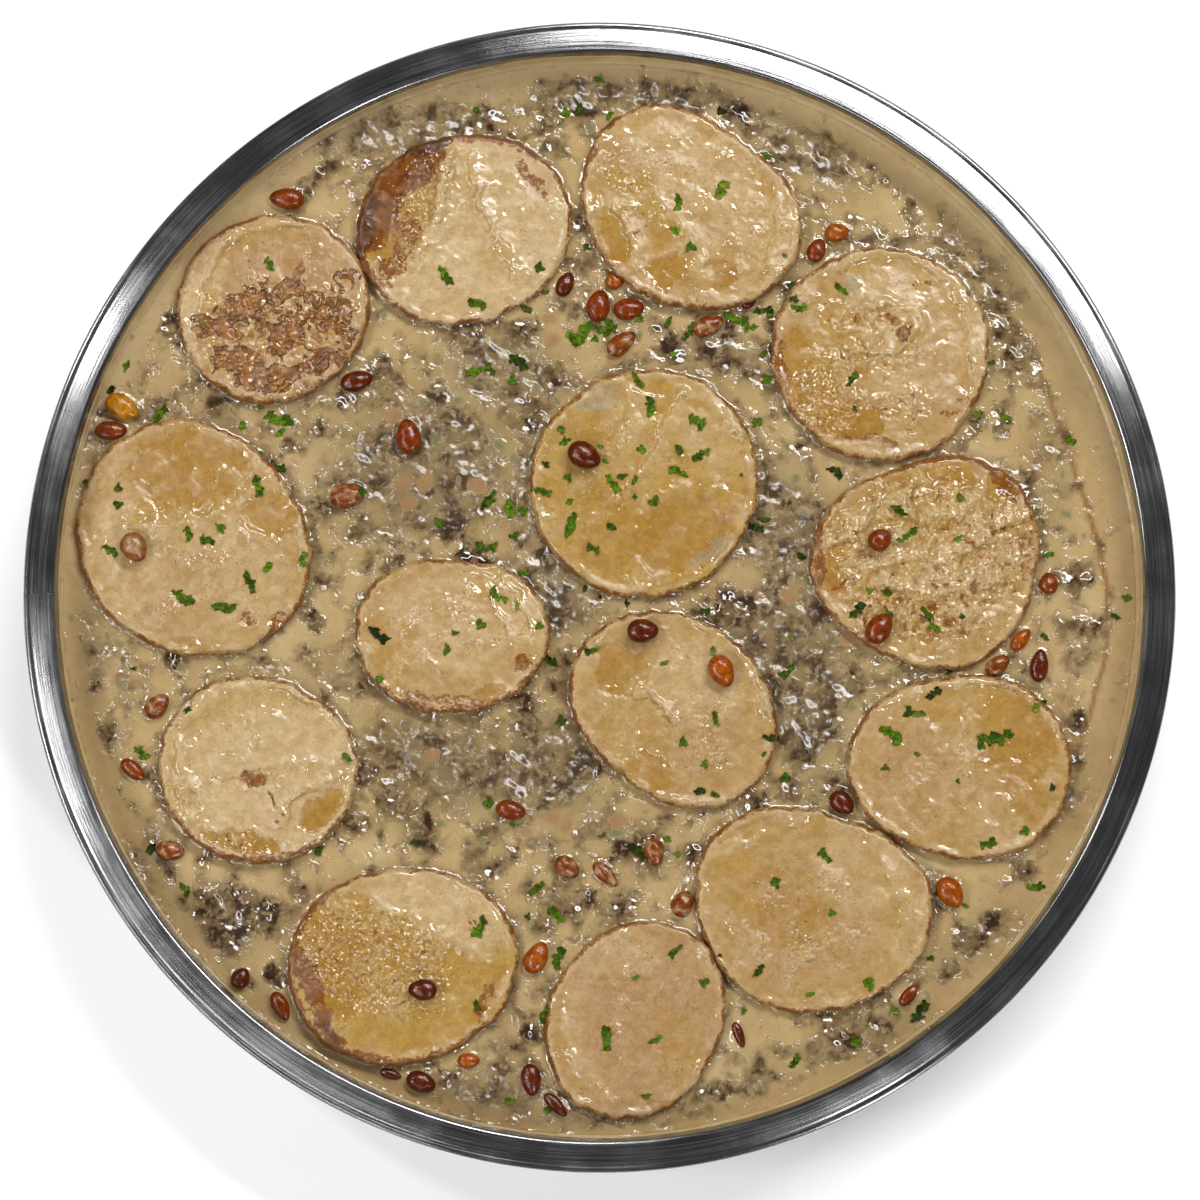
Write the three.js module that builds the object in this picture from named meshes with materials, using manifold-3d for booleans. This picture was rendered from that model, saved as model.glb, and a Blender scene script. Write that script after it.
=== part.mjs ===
// Kofta with tahini: a round steel tray that holds a layer of minced meat under tahini sauce,
// with fried potato slices, roasted pine nuts and chopped parsley on top.
// Millimetres, +Z up. The origin is the centre of the tray's underside.
import * as THREE from "three";
import { mergeVertices } from "three/addons/utils/BufferGeometryUtils.js";
import Module from "manifold-3d";

const wasm = await Module();
wasm.setup();

// Driving dimensions
const GAP = 0.3; // between pieces that touch
const TRAY = {
  radius: 170, // outer edge of the flange
  height: 45,
  sheet: 1,
  flange: 8.3,
  hem: 2.2, // thickness of the folded edge of the flange
  hemWidth: 4,
  fold: 1, // radius where the wall turns out into the flange
  corner: 7, // radius between floor and wall
  draft: THREE.MathUtils.degToRad(3), // the wall leans out by this
  segments: 60,
};
const SAUCE_LEVEL = 30;
const KOFTA = {
  radius: 152,
  unevenEdge: 2.5,
  dent: 6, // where the edge falls back on one side
  dentHeading: 20,
  foot: 0.975, // the edge slopes in to this share of its radius at the floor
  top: 27.4, // general height of the meat, under the sauce
  edgeDrop: 4,
  rings: 13,
};
const CRAG = { peak: 31.6, shoulder: 30.4, reach: 1.3 };
const SLICE = { thickness: 8, edge: 2.4, wave: 0.3, segments: 16, socketSides: 10 };
const NUT = { segments: 7, rings: 4, thickness: 0.77, point: 0.3, hollowSides: 6 };
const FLAKE = { thickness: 1.2, sunk: 0.6, corners: 5 };

// Potato slices: place, mean radius, oval [amount, heading], three-cornered [amount, heading],
// height of the top over the sauce, and the rise of the top towards +X and +Y.
const SLICES = [
  { x: -97.4, y: 85.8, radius: 28.5, oval: [0.5, 33], corner: [0.3, 20], top: 3.3, rise: [0.02, -0.02] },
  { x: -40.5, y: 109.6, radius: 30.3, oval: [2, 16], corner: [0.2, 25], top: 3.7, rise: [-0.02, 0.01] },
  { x: 26.3, y: 115.2, radius: 31.2, oval: [3.8, -36], corner: [1.2, -6], top: 3.9, rise: [0.01, -0.02] },
  { x: 83.9, y: 72.3, radius: 32.2, oval: [0.4, 0], corner: [0.3, 40], top: 3.3, rise: [-0.02, -0.01] },
  { x: 13.3, y: 33.6, radius: 34, oval: [0.6, 46], corner: [0.3, 55], top: 3.9, rise: [0.01, 0.02] },
  { x: 98, y: 10.3, radius: 32.8, oval: [1.5, 11], corner: [1.7, 52], top: 3.5, rise: [-0.01, 0.02] },
  { x: -121, y: 16.8, radius: 34.8, oval: [2.1, -48], corner: [0.6, -23], top: 3.5, rise: [0.02, 0.01] },
  { x: -44.1, y: -11.5, radius: 26, oval: [3.2, 0], corner: [0.5, 20], top: 3.8, rise: [0, -0.04] },
  { x: 22.2, y: -33.4, radius: 29.5, oval: [3.5, -38], corner: [0.5, 47], top: 3.7, rise: [-0.02, 0.02] },
  { x: 107.3, y: -50.6, radius: 30.3, oval: [3, -3], corner: [0.7, 55], top: 3.5, rise: [0.02, -0.01] },
  { x: -101.6, y: -51.5, radius: 28.7, oval: [1, -15], corner: [0.3, 0], top: 3.8, rise: [0, -0.03] },
  { x: -58.7, y: -109.5, radius: 31.6, oval: [2.6, 10], corner: [0.5, 12], top: 3.6, rise: [-0.01, -0.02] },
  { x: 10.2, y: -125.6, radius: 27.8, oval: [2.4, 60], corner: [0.3, 51], top: 3.4, rise: [0.01, 0.02] },
  { x: 62.3, y: -92.9, radius: 32.6, oval: [2.8, -14], corner: [1.5, 10], top: 3.9, rise: [0.02, 0.01] },
];

// Pine nuts: place, length, width and the heading of the pointed end.
const NUTS = [
  [-93.3, 118.8, 10.4, 6.5, 175],
  [-72.4, 64.2, 9.8, 6.2, 15],
  [-57, 47.5, 10.8, 7.6, 98],
  [-75, 30, 11, 7.4, 15],
  [-142, 56.4, 10.8, 7, -32],
  [-145.4, 49.4, 9.6, 5.8, 2],
  [-138, 14.2, 9.2, 7.8, -60],
  [-4.7, 41.5, 10.4, 8, -28],
  [-10.3, 93.2, 7.8, 5.2, 65],
  [-0.4, 86.7, 9.8, 7.2, 78],
  [8.7, 85.8, 9.2, 6.8, 8],
  [6.5, 75.5, 10, 6, 38],
  [32.4, 80.8, 9.8, 6, 25],
  [70.9, 108.8, 7.4, 5.6, 8],
  [64.8, 103.5, 7.4, 5.6, 68],
  [83, 16.5, 7.2, 6.8, 40],
  [133.6, 3.8, 6.6, 5.8, 90],
  [82.8, -9.8, 10, 7.4, 55],
  [125.2, -13, 8, 4.4, 50],
  [118.3, -20.5, 8, 5.4, 35],
  [130.7, -20.7, 9.8, 5.6, 83],
  [12.6, -10.6, 9.4, 7.2, 2],
  [36, -22.5, 10, 7.4, -65],
  [71.8, -61.4, 8.2, 6.4, -40],
  [103.8, -88, 10, 7.6, -58],
  [91.4, -118.4, 7.6, 4, 50],
  [24.5, -91.3, 8.2, 6.6, 60],
  [16, -76, 8.6, 6, -80],
  [1.5, -82.5, 9.4, 4.6, -45],
  [-10, -80.5, 8.2, 6.2, -30],
  [-26.5, -63.5, 9, 5.8, -12],
  [-131.4, -32.6, 8.6, 6, 45],
  [-138.5, -51.5, 8.6, 4.8, -40],
  [-127.3, -75.5, 8.6, 6, -5],
  [-106.4, -113.2, 6.6, 5.6, 60],
  [-94.6, -121.4, 9.2, 5, -64],
  [-52.5, -116.5, 8.6, 6.4, 178],
  [-18.9, -107.2, 10, 6.8, 62],
  [-53, -143.8, 9, 6.2, -20],
  [-39, -137.6, 6.6, 4.6, 0],
  [-20.5, -143.2, 9.6, 6, -85],
  [-13.2, -150.6, 9, 4, -46],
];

// Crags of meat that stand out of the sauce: place and radius.
const CRAGS = [
  [-83, 130, 8], [-57, 144, 7], [-42, 147, 6], [-16, 151, 7], [-12, 134, 4], [6, 151, 4.5], [24, 153, 4],
  [47, 147, 6], [58, 135, 4], [92, 128, 4.5], [92, 116, 4], [106, 106, 7], [118, 88, 7], [127, 78, 5.5],
  [55, 28, 4], [54, 15, 4.5], [41, -3, 5], [57, -13, 4.5], [65, -30, 5.5], [63, -43, 5.5], [-12, 7, 5],
  [-24, -35, 5.5], [-22, -46, 6], [-8, -46, 5.5], [-12, -57, 5], [-61, -61, 6], [-52, -72, 4.5],
  [-69, -47, 4.5], [-84, -7, 4.5], [-68, 42, 4.5], [-90, 44, 4], [-128, 93, 5], [-24, 76, 5], [-21, 56, 5],
  [22, 73, 4.5], [42, 69, 4], [120, 50, 4], [-144, -61, 4], [-150, -24, 3.5], [-116, -92, 6],
  [-111, -100, 6.5], [-89, -87, 4], [-35, -150, 5], [36, -147, 4.5], [111, -104, 6.5], [127, -91, 5],
  [101, -115, 4.5], [76, -134, 5.5], [142, -58, 5], [139, -72, 5], [142, -38, 4.5],
];

// Parsley flakes large enough to feel: place, length and heading.
const FLAKES = [
  [-98, 99, 5, -30], [-139, 78, 5, 100], [-147.5, 63, 5, 60], [-131, 54.4, 5.5, 5], [-96.5, 52.6, 9, -15],
  [-46, 95, 6, 10], [-36.5, 87.5, 6, 60], [-5, 146, 4.5, 40], [0, 155, 4.5, 0], [36, 121.5, 6, 70],
  [23, 117.5, 5, 20], [22.5, 109, 4.5, 60], [-5.5, 78, 8, -10], [42, 82.5, 6, -20], [50, 85.6, 6, 40],
  [11, 64, 5.5, 30], [15, 56.5, 6, -10], [29, 51.5, 6, 50], [-24, 69.5, 6, -50], [-34.5, 67.5, 5, 0],
  [59.5, 85.5, 5.5, 20], [72, 91.5, 5, 5], [75, 64.5, 5, 10], [-101.5, 32.5, 6, 40], [-122, 18.5, 5, -20],
  [-116.5, 16.5, 5, -50], [-88.7, 11, 4.5, -40], [-103.5, 4, 6, 60], [-124, -0.5, 6.5, -60],
  [-111.5, -3.5, 7, 30], [-65.8, -12, 7, -45], [-136, -46.5, 5.5, 40], [-33.5, 28.3, 7, -20],
  [-26.5, 26, 5, -60], [-32.5, 14.4, 5, 15], [4.3, 33.6, 6.5, -50], [10.5, 34.6, 4.5, -30],
  [30, 42, 6, 25], [24.2, 36.6, 5.5, 0], [-8.5, 21, 7, 20], [47.5, 21.5, 6, 55], [-31, 0, 6, -45],
  [-35.5, -8.6, 4.5, 60], [-45.5, -16, 4.5, 20], [-2.5, -16.5, 5, -45], [34, -36.6, 5, -50],
  [50, -42, 5, 10], [92, 18.6, 5.5, 30], [88.5, 25.3, 5, -65], [76.5, -4.3, 6.5, -75], [98, -7.5, 8, -35],
  [70.8, 37.6, 4.5, 20], [56, -22.6, 5.5, 60], [99, -29, 5, 40], [86.5, -41, 7, -40], [116.6, -42.6, 9, -5],
  [115, -74, 5.5, 50], [126, -70, 4.5, 30], [-122.5, -87.2, 6, -40], [-35.5, -98, 6.5, -50],
  [-13, -94.5, 6, 45], [-11.8, -105.6, 6, 50], [2, -131, 7, -72], [16, -131.5, 4.5, 0], [47, -111, 5, 0],
  [57.5, -138.2, 5.5, -40], [80, -116, 6, -50], [66.5, -77.5, 5, -5], [95, -123, 6.5, -40],
];

const COLOURS = {
  tray: { color: 0x9a9a9c, roughness: 0.28, metalness: 1 },
  kofta: { color: 0x5f4a40, roughness: 0.45, metalness: 0 },
  sauce: { color: 0xbd9f74, roughness: 0.3, metalness: 0 },
  potato: { color: 0xc49a64, roughness: 0.4, metalness: 0 },
  nut: { color: 0x8a3f16, roughness: 0.3, metalness: 0 },
};

const rad = THREE.MathUtils.degToRad;

// Geometry helpers

// The geometry with its shared vertices merged and collapsed faces left out.
function welded(geometry) {
  const bare = geometry.index ? geometry.toNonIndexed() : geometry.clone();
  bare.deleteAttribute("normal");
  bare.deleteAttribute("uv");
  const merged = mergeVertices(bare, 1e-4);
  const index = merged.index.array;
  const kept = [];
  for (let i = 0; i < index.length; i += 3) {
    const [a, b, c] = [index[i], index[i + 1], index[i + 2]];
    if (a !== b && b !== c && c !== a) kept.push(a, b, c);
  }
  merged.setIndex(kept);
  return merged;
}

function toSolid(geometry) {
  const merged = welded(geometry);
  const solid = new wasm.Manifold(
    new wasm.Mesh({
      numProp: 3,
      vertProperties: new Float32Array(merged.attributes.position.array),
      triVerts: new Uint32Array(merged.index.array),
    }),
  );
  if (solid.volume() < 0) throw new Error("a piece is inside out");
  return solid;
}

function toGeometry(solid) {
  const mesh = solid.getMesh();
  const positions = new Float32Array(mesh.numVert * 3);
  for (let i = 0; i < mesh.numVert; i++) {
    positions.set(mesh.vertProperties.subarray(i * mesh.numProp, i * mesh.numProp + 3), i * 3);
  }
  const geometry = new THREE.BufferGeometry();
  geometry.setAttribute("position", new THREE.BufferAttribute(positions, 3));
  geometry.setIndex(new THREE.BufferAttribute(new Uint32Array(mesh.triVerts), 1));
  geometry.computeVertexNormals();
  return geometry;
}

function fromFaces(vertices, faces) {
  const geometry = new THREE.BufferGeometry();
  geometry.setAttribute("position", new THREE.Float32BufferAttribute(vertices.flat(), 3));
  geometry.setIndex(faces.flat());
  return geometry;
}

// The largest of the bodies that a cut leaves.
function largest(solid) {
  const bodies = solid.decompose();
  return bodies.reduce((best, body) => (body.volume() > best.volume() ? body : best));
}

// A profile of [radius, z] points turned about Z.
function turned(profile, segments) {
  const points = profile.map(([r, z]) => new THREE.Vector2(r, z));
  return new THREE.LatheGeometry(points, segments).rotateX(Math.PI / 2);
}

function moveVertices(geometry, move) {
  const position = geometry.attributes.position;
  const v = new THREE.Vector3();
  for (let i = 0; i < position.count; i++) {
    move(v.fromBufferAttribute(position, i));
    position.setXYZ(i, v.x, v.y, v.z);
  }
  return geometry;
}

// An upright prism with this outline of [x, y] points, from z = low to z = high.
function prism(outline, low, high) {
  const shape = new THREE.Shape(outline.map(([x, y]) => new THREE.Vector2(x, y)));
  return new THREE.ExtrudeGeometry(shape, { depth: high - low, bevelEnabled: false }).translate(0, 0, low);
}

function arc(cx, cz, radius, from, to, steps) {
  const points = [];
  for (let i = 0; i <= steps; i++) {
    const a = rad(from + ((to - from) * i) / steps);
    points.push([cx + radius * Math.cos(a), cz + radius * Math.sin(a)]);
  }
  return points;
}

// A repeatable random number from 0 to 1.
function seeded(seed) {
  let state = seed;
  return () => {
    state = (state * 1664525 + 1013904223) % 4294967296;
    return state / 4294967296;
  };
}

const smooth = (a, b, x) => THREE.MathUtils.smoothstep(x, a, b);

// Tray

const flangeInner = TRAY.radius - TRAY.flange;
const wallTop = TRAY.height - TRAY.fold;

// Radius of the wall's inner face at height z.
const wallRadius = (z) => flangeInner - TRAY.fold - (wallTop - z) * Math.tan(TRAY.draft);

function trayProfile() {
  const { radius, height, sheet, hem, hemWidth, fold, corner } = TRAY;
  const cornerIn = corner - sheet;
  const cornerX = wallRadius(corner) - cornerIn;
  const hemRadius = hem / 2;
  return [
    [0, 0],
    ...arc(cornerX, corner, corner, -90, 0, 3),
    [wallRadius(height - fold - 1) + sheet, height - fold - 1],
    [flangeInner + 0.4, height - sheet],
    [radius - hemWidth, height - sheet],
    [radius - hemWidth, height - hem],
    ...arc(radius - hemRadius, height - hemRadius, hemRadius, -90, 90, 4),
    ...arc(flangeInner, height - fold, fold, 90, 180, 2),
    ...arc(cornerX, corner, cornerIn, 0, -90, 3),
    [0, sheet],
  ];
}

// Potato slices

// Radius of a slice's outline at an angle about its own centre.
function sliceRadius(slice, angle) {
  const [ovalBy, ovalAt] = slice.oval;
  const [cornerBy, cornerAt] = slice.corner;
  return (
    slice.radius +
    ovalBy * Math.cos(2 * (angle - rad(ovalAt))) +
    cornerBy * Math.cos(3 * (angle - rad(cornerAt)))
  );
}

// A polygon round the slice, whose sides stay clear of it by the gap.
function sliceOutline(slice, sides) {
  const points = [];
  for (let i = 0; i < sides; i++) {
    const angle = (i / sides) * 2 * Math.PI;
    const slack = sides < SLICE.segments ? 1 / Math.cos(Math.PI / sides) : 1;
    const r = sliceRadius(slice, angle) * slack + 2 * GAP;
    points.push([slice.x + r * Math.cos(angle), slice.y + r * Math.sin(angle)]);
  }
  return points;
}

const insideSlice = (slice, x, y, margin) =>
  Math.hypot(x - slice.x, y - slice.y) <
  sliceRadius(slice, Math.atan2(y - slice.y, x - slice.x)) + margin;

// Height of the plane through the middle of the slice's top.
const sliceTop = (slice, x, y) =>
  SAUCE_LEVEL + slice.top + slice.rise[0] * (x - slice.x) + slice.rise[1] * (y - slice.y);

function sliceGeometry(slice) {
  const { thickness, edge, segments } = SLICE;
  const profile = [
    [0, -thickness],
    [1 - edge / slice.radius, -thickness],
    [1, -thickness + edge],
    [1, -edge],
    [1 - (0.8 * edge) / slice.radius, 0],
    [0, 0.1],
  ];
  return moveVertices(turned(profile, segments), (v) => {
    const angle = Math.atan2(v.y, v.x);
    const share = Math.hypot(v.x, v.y);
    const r = share * sliceRadius(slice, angle);
    v.x = slice.x + r * Math.cos(angle);
    v.y = slice.y + r * Math.sin(angle);
    const wave = v.z > -edge ? SLICE.wave * share * Math.sin(3 * angle + slice.x) : 0;
    v.z += sliceTop(slice, v.x, v.y) + wave;
  });
}

// What a slice takes up in the meat (from its underside) or in the sauce (all the way down).
function sliceCutter(slice, sides, depth) {
  return moveVertices(prism(sliceOutline(slice, sides), -depth, 20), (v) => {
    v.z += sliceTop(slice, v.x, v.y);
  });
}

// Pine nuts

const sliceUnder = (x, y) => SLICES.find((slice) => insideSlice(slice, x, y, 0));

// A unit nut lies along X, blunt at -X and pointed at +X.
function nutShape(v) {
  const taper = 1 - NUT.point * smooth(-0.4, 1, v.x);
  v.y *= taper;
  v.z *= taper;
}

function nutGeometry([x, y, length, width, heading]) {
  const height = width * NUT.thickness;
  const geometry = new THREE.SphereGeometry(1, NUT.segments, NUT.rings).rotateZ(Math.PI / 2);
  moveVertices(geometry, nutShape);
  geometry.scale(length / 2, width / 2, height / 2);
  geometry.rotateZ(rad(heading));
  const slice = sliceUnder(x, y);
  const centre = slice ? sliceTop(slice, x, y) + SLICE.wave + GAP + height / 2 : SAUCE_LEVEL + 0.28 * height;
  return geometry.translate(x, y, centre);
}

function nutCutter([x, y, length, width, heading]) {
  const outline = [];
  for (let i = 0; i < NUT.hollowSides; i++) {
    const angle = ((i + 0.5) / NUT.hollowSides) * 2 * Math.PI;
    outline.push([(length / 2 + 2 * GAP) * Math.cos(angle), (width / 2 + 2 * GAP) * Math.sin(angle)]);
  }
  const low = SAUCE_LEVEL - 0.25 * width * NUT.thickness - 2 * GAP;
  return prism(outline, low, SAUCE_LEVEL + 10)
    .rotateZ(rad(heading))
    .translate(x, y, 0);
}

// Kofta

const nutReach = ([x, y, length], px, py) => Math.hypot(px - x, py - y) - length / 2;

function koftaEdge(angle) {
  const turn = Math.atan2(Math.sin(angle - rad(KOFTA.dentHeading)), Math.cos(angle - rad(KOFTA.dentHeading)));
  return (
    KOFTA.radius -
    KOFTA.dent * Math.exp(-((turn / 0.35) ** 2)) +
    KOFTA.unevenEdge * (0.6 * Math.sin(5 * angle + 0.6) + 0.4 * Math.sin(11 * angle + 2))
  );
}

// Height of the meat between its crags: a lumpy plain that falls off at the edge.
const koftaHeight = (x, y, share) =>
  KOFTA.top +
  0.5 * Math.sin(x * 0.21 + 1.3 * Math.sin(y * 0.13)) * Math.sin(y * 0.19 + 2) -
  KOFTA.edgeDrop * smooth(0.95, 1, share);

// Each crag takes the nearest vertex of the meat's top for its peak and lifts those within its reach.
function raiseCrags(vertices) {
  for (const [x, y, radius] of CRAGS) {
    const away = vertices.map(([vx, vy]) => Math.hypot(vx - x, vy - y));
    const peak = away.indexOf(Math.min(...away));
    vertices.forEach((v, i) => {
      if (away[i] < CRAG.reach * radius) v[2] = Math.max(v[2], CRAG.shoulder);
    });
    vertices[peak] = [x, y, CRAG.peak];
  }
}

// A disc of evenly sized triangles: ring k has 6 k vertices.
function discTop(rings, heightAt, edgeAt) {
  const vertices = [];
  const start = (ring) => (ring === 0 ? 0 : 1 + 3 * ring * (ring - 1));
  for (let ring = 0; ring <= rings; ring++) {
    const count = Math.max(1, 6 * ring);
    for (let i = 0; i < count; i++) {
      const angle = (i / count) * 2 * Math.PI;
      const share = ring / rings;
      const r = share * edgeAt(angle);
      const [x, y] = [r * Math.cos(angle), r * Math.sin(angle)];
      vertices.push([x, y, heightAt(x, y, share)]);
    }
  }
  const faces = [];
  for (let ring = 1; ring <= rings; ring++) {
    const [inner, outer] = [start(ring - 1), start(ring)];
    const innerCount = Math.max(1, 6 * (ring - 1));
    for (let side = 0; side < 6; side++) {
      for (let i = 0; i < ring; i++) {
        const o = outer + side * ring + i;
        const oNext = outer + ((side * ring + i + 1) % (6 * ring));
        const a = inner + ((side * (ring - 1) + i) % innerCount);
        faces.push([a, o, oNext]);
        if (i < ring - 1) faces.push([a, oNext, inner + ((side * (ring - 1) + i + 1) % innerCount)]);
      }
    }
  }
  return { vertices, faces, rim: start(rings), rimCount: 6 * rings };
}

// The meat as a closed body, grown by a margin on its top and edge, down to z = floor.
function koftaGeometry(margin, floor) {
  const { vertices, faces, rim, rimCount } = discTop(KOFTA.rings, koftaHeight, koftaEdge);
  raiseCrags(vertices);
  for (let i = 0; i < rimCount; i++) {
    const angle = (i / rimCount) * 2 * Math.PI;
    const r = KOFTA.foot * koftaEdge(angle);
    const edge = vertices[rim + i];
    edge[0] += margin * Math.cos(angle);
    edge[1] += margin * Math.sin(angle);
    vertices.push([(r + margin) * Math.cos(angle), (r + margin) * Math.sin(angle), floor - margin]);
  }
  const foot = rim + rimCount;
  const centre = foot + rimCount;
  vertices.push([0, 0, floor - margin]);
  for (const v of vertices) v[2] += margin;
  for (let i = 0; i < rimCount; i++) {
    const next = (i + 1) % rimCount;
    faces.push([rim + i, foot + i, foot + next], [rim + i, foot + next, rim + next]);
    faces.push([centre, foot + next, foot + i]);
  }
  return fromFaces(vertices, faces);
}

// Sauce

// The tray's inside up to the sauce level, a gap clear of the steel.
function sauceBody() {
  const { sheet, corner } = TRAY;
  const floor = sheet + GAP;
  const cornerIn = corner - sheet;
  const cornerX = wallRadius(corner) - cornerIn;
  return turned(
    [
      [0, floor],
      ...arc(cornerX, corner, cornerIn - GAP, -90, 0, 2),
      [wallRadius(SAUCE_LEVEL) - GAP, SAUCE_LEVEL],
      [0, SAUCE_LEVEL],
    ],
    TRAY.segments,
  );
}

// Parsley

// An irregular flat chip whose underside is sunk into what it lies on.
function flakeGeometry([x, y, length, heading], surface, random) {
  const outline = [];
  for (let i = 0; i < FLAKE.corners; i++) {
    const angle = ((i + 0.5 * random()) / FLAKE.corners) * 2 * Math.PI;
    const reach = 0.75 + 0.25 * random();
    outline.push([(length / 2) * reach * Math.cos(angle), 0.3 * length * reach * Math.sin(angle)]);
  }
  return prism(outline, -FLAKE.sunk, FLAKE.thickness - FLAKE.sunk)
    .rotateZ(rad(heading))
    .translate(x, y, surface);
}

const clearOfNuts = ([x, y, length]) => NUTS.every((nut) => nutReach(nut, x, y) > length / 2 + 2 * GAP);
const onSauce = ([x, y, length]) =>
  SLICES.every((slice) => !insideSlice(slice, x, y, length / 2 + 2 * GAP)) &&
  Math.hypot(x, y) < wallRadius(SAUCE_LEVEL) - length / 2 - 1;
const onSlice = (slice, [x, y, length]) => insideSlice(slice, x, y, -length / 2 - SLICE.edge);

// Assembly

const part = new THREE.Group();
const random = seeded(7);
const flakes = FLAKES.filter(clearOfNuts);

function addPiece(name, geometry, colour) {
  const mesh = new THREE.Mesh(geometry, new THREE.MeshStandardMaterial(COLOURS[colour]));
  mesh.name = name;
  part.add(mesh);
}

const numbered = (name, i) => `${name}_${String(i + 1).padStart(2, "0")}`;

addPiece("tray", welded(turned(trayProfile(), TRAY.segments)), "tray");

let kofta = toSolid(koftaGeometry(0, TRAY.sheet + GAP));
let sauce = toSolid(sauceBody()).subtract(toSolid(koftaGeometry(GAP, -1)));
for (const slice of SLICES) {
  kofta = kofta.subtract(toSolid(sliceCutter(slice, SLICE.socketSides, SLICE.thickness + GAP)));
  sauce = sauce.subtract(toSolid(sliceCutter(slice, SLICE.segments, 2 * SLICE.thickness)));
}
for (const nut of NUTS.filter(([x, y]) => !sliceUnder(x, y))) {
  sauce = sauce.subtract(toSolid(nutCutter(nut)));
}
for (const flake of flakes.filter(onSauce)) {
  const chip = toSolid(flakeGeometry(flake, SAUCE_LEVEL, random));
  if (chip.intersect(kofta).volume() === 0) sauce = sauce.add(chip);
}
addPiece("kofta", toGeometry(largest(kofta)), "kofta");
addPiece("sauce", toGeometry(largest(sauce)), "sauce");

SLICES.forEach((slice, i) => {
  let solid = toSolid(sliceGeometry(slice));
  for (const flake of flakes.filter((f) => onSlice(slice, f))) {
    solid = solid.add(toSolid(flakeGeometry(flake, sliceTop(slice, flake[0], flake[1]) + 0.2, random)));
  }
  addPiece(numbered("potato", i), toGeometry(solid), "potato");
});

NUTS.forEach((nut, i) => addPiece(numbered("pine_nut", i), welded(nutGeometry(nut)), "nut"));

export default part;
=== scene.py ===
"""Looks of a round steel tray of kofta under tahini sauce, with fried potato slices, pine nuts and parsley.

Lengths in the lists and functions are millimetres, and meshes are stored in metres, in the frame of the CAD.
"""
import math
from collections import namedtuple

import bpy
import numpy as np
from mathutils import Matrix, Vector
from mathutils.geometry import delaunay_2d_cdt, tessellate_polygon


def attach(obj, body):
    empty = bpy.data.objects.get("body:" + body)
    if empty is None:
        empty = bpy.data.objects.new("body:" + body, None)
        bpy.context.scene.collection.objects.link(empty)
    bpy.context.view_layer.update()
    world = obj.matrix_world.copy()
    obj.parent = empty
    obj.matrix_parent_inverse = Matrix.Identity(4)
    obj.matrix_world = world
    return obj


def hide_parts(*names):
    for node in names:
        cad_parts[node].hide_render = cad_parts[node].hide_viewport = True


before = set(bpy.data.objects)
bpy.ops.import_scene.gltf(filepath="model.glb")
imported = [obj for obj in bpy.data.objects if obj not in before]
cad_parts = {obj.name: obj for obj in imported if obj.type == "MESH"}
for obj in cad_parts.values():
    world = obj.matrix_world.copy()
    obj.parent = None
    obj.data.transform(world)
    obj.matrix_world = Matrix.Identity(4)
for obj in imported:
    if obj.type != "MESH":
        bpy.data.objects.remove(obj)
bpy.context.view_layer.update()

# Dimensions
MM = 0.001
LEVEL = 30.0  # height of the sauce
GAP = 0.3  # between food and tray, and between slices and meat
TRAY = {"radius": 170, "height": 45, "sheet": 1, "flange": 8.3, "hem": 2.2, "hem_width": 4, "fold": 1,
        "corner": 7, "draft": math.radians(3), "fall": 0.9, "segments": 288}
KOFTA = {"radius": 152, "dent": 6, "dent_heading": 20, "dent_width": 0.35, "uneven": 2.5, "low": 27.2,
         "edge_drop": 4, "pitch": 0.6, "rim_points": 900}
SAUCE_FOOT = 25.6
SAUCE_PITCH = 0.5
SAUCE_RIM_POINTS = 1100
SLICE_THICKNESS = 8.0
SLICE_FOOT = 1.5  # how far a slice's underside draws in from its side
SLICE_POINTS = 240  # round a slice
SLICE_RINGS = 60  # on its upper face
NUT_THICKNESS = 0.77  # as a share of the nut's width
NUT_AFLOAT = 0.28  # height of a nut's middle over the sauce, as a share of its thickness
FLAKE_THICKNESS = 0.24
FLAKE_LIFT = 0.04  # the least that a flake's middle plane lies over what carries it
FAR = 99.0  # farther than any distance that matters

Slice = namedtuple("Slice", "x y radius oval corner top tilt")
Nut = namedtuple("Nut", "x y length width heading look")


def table(width, text):
    """Rows of this many numbers."""
    numbers = [float(n) for n in text.split()]
    return [tuple(numbers[i:i + width]) for i in range(0, len(numbers), width)]


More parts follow.
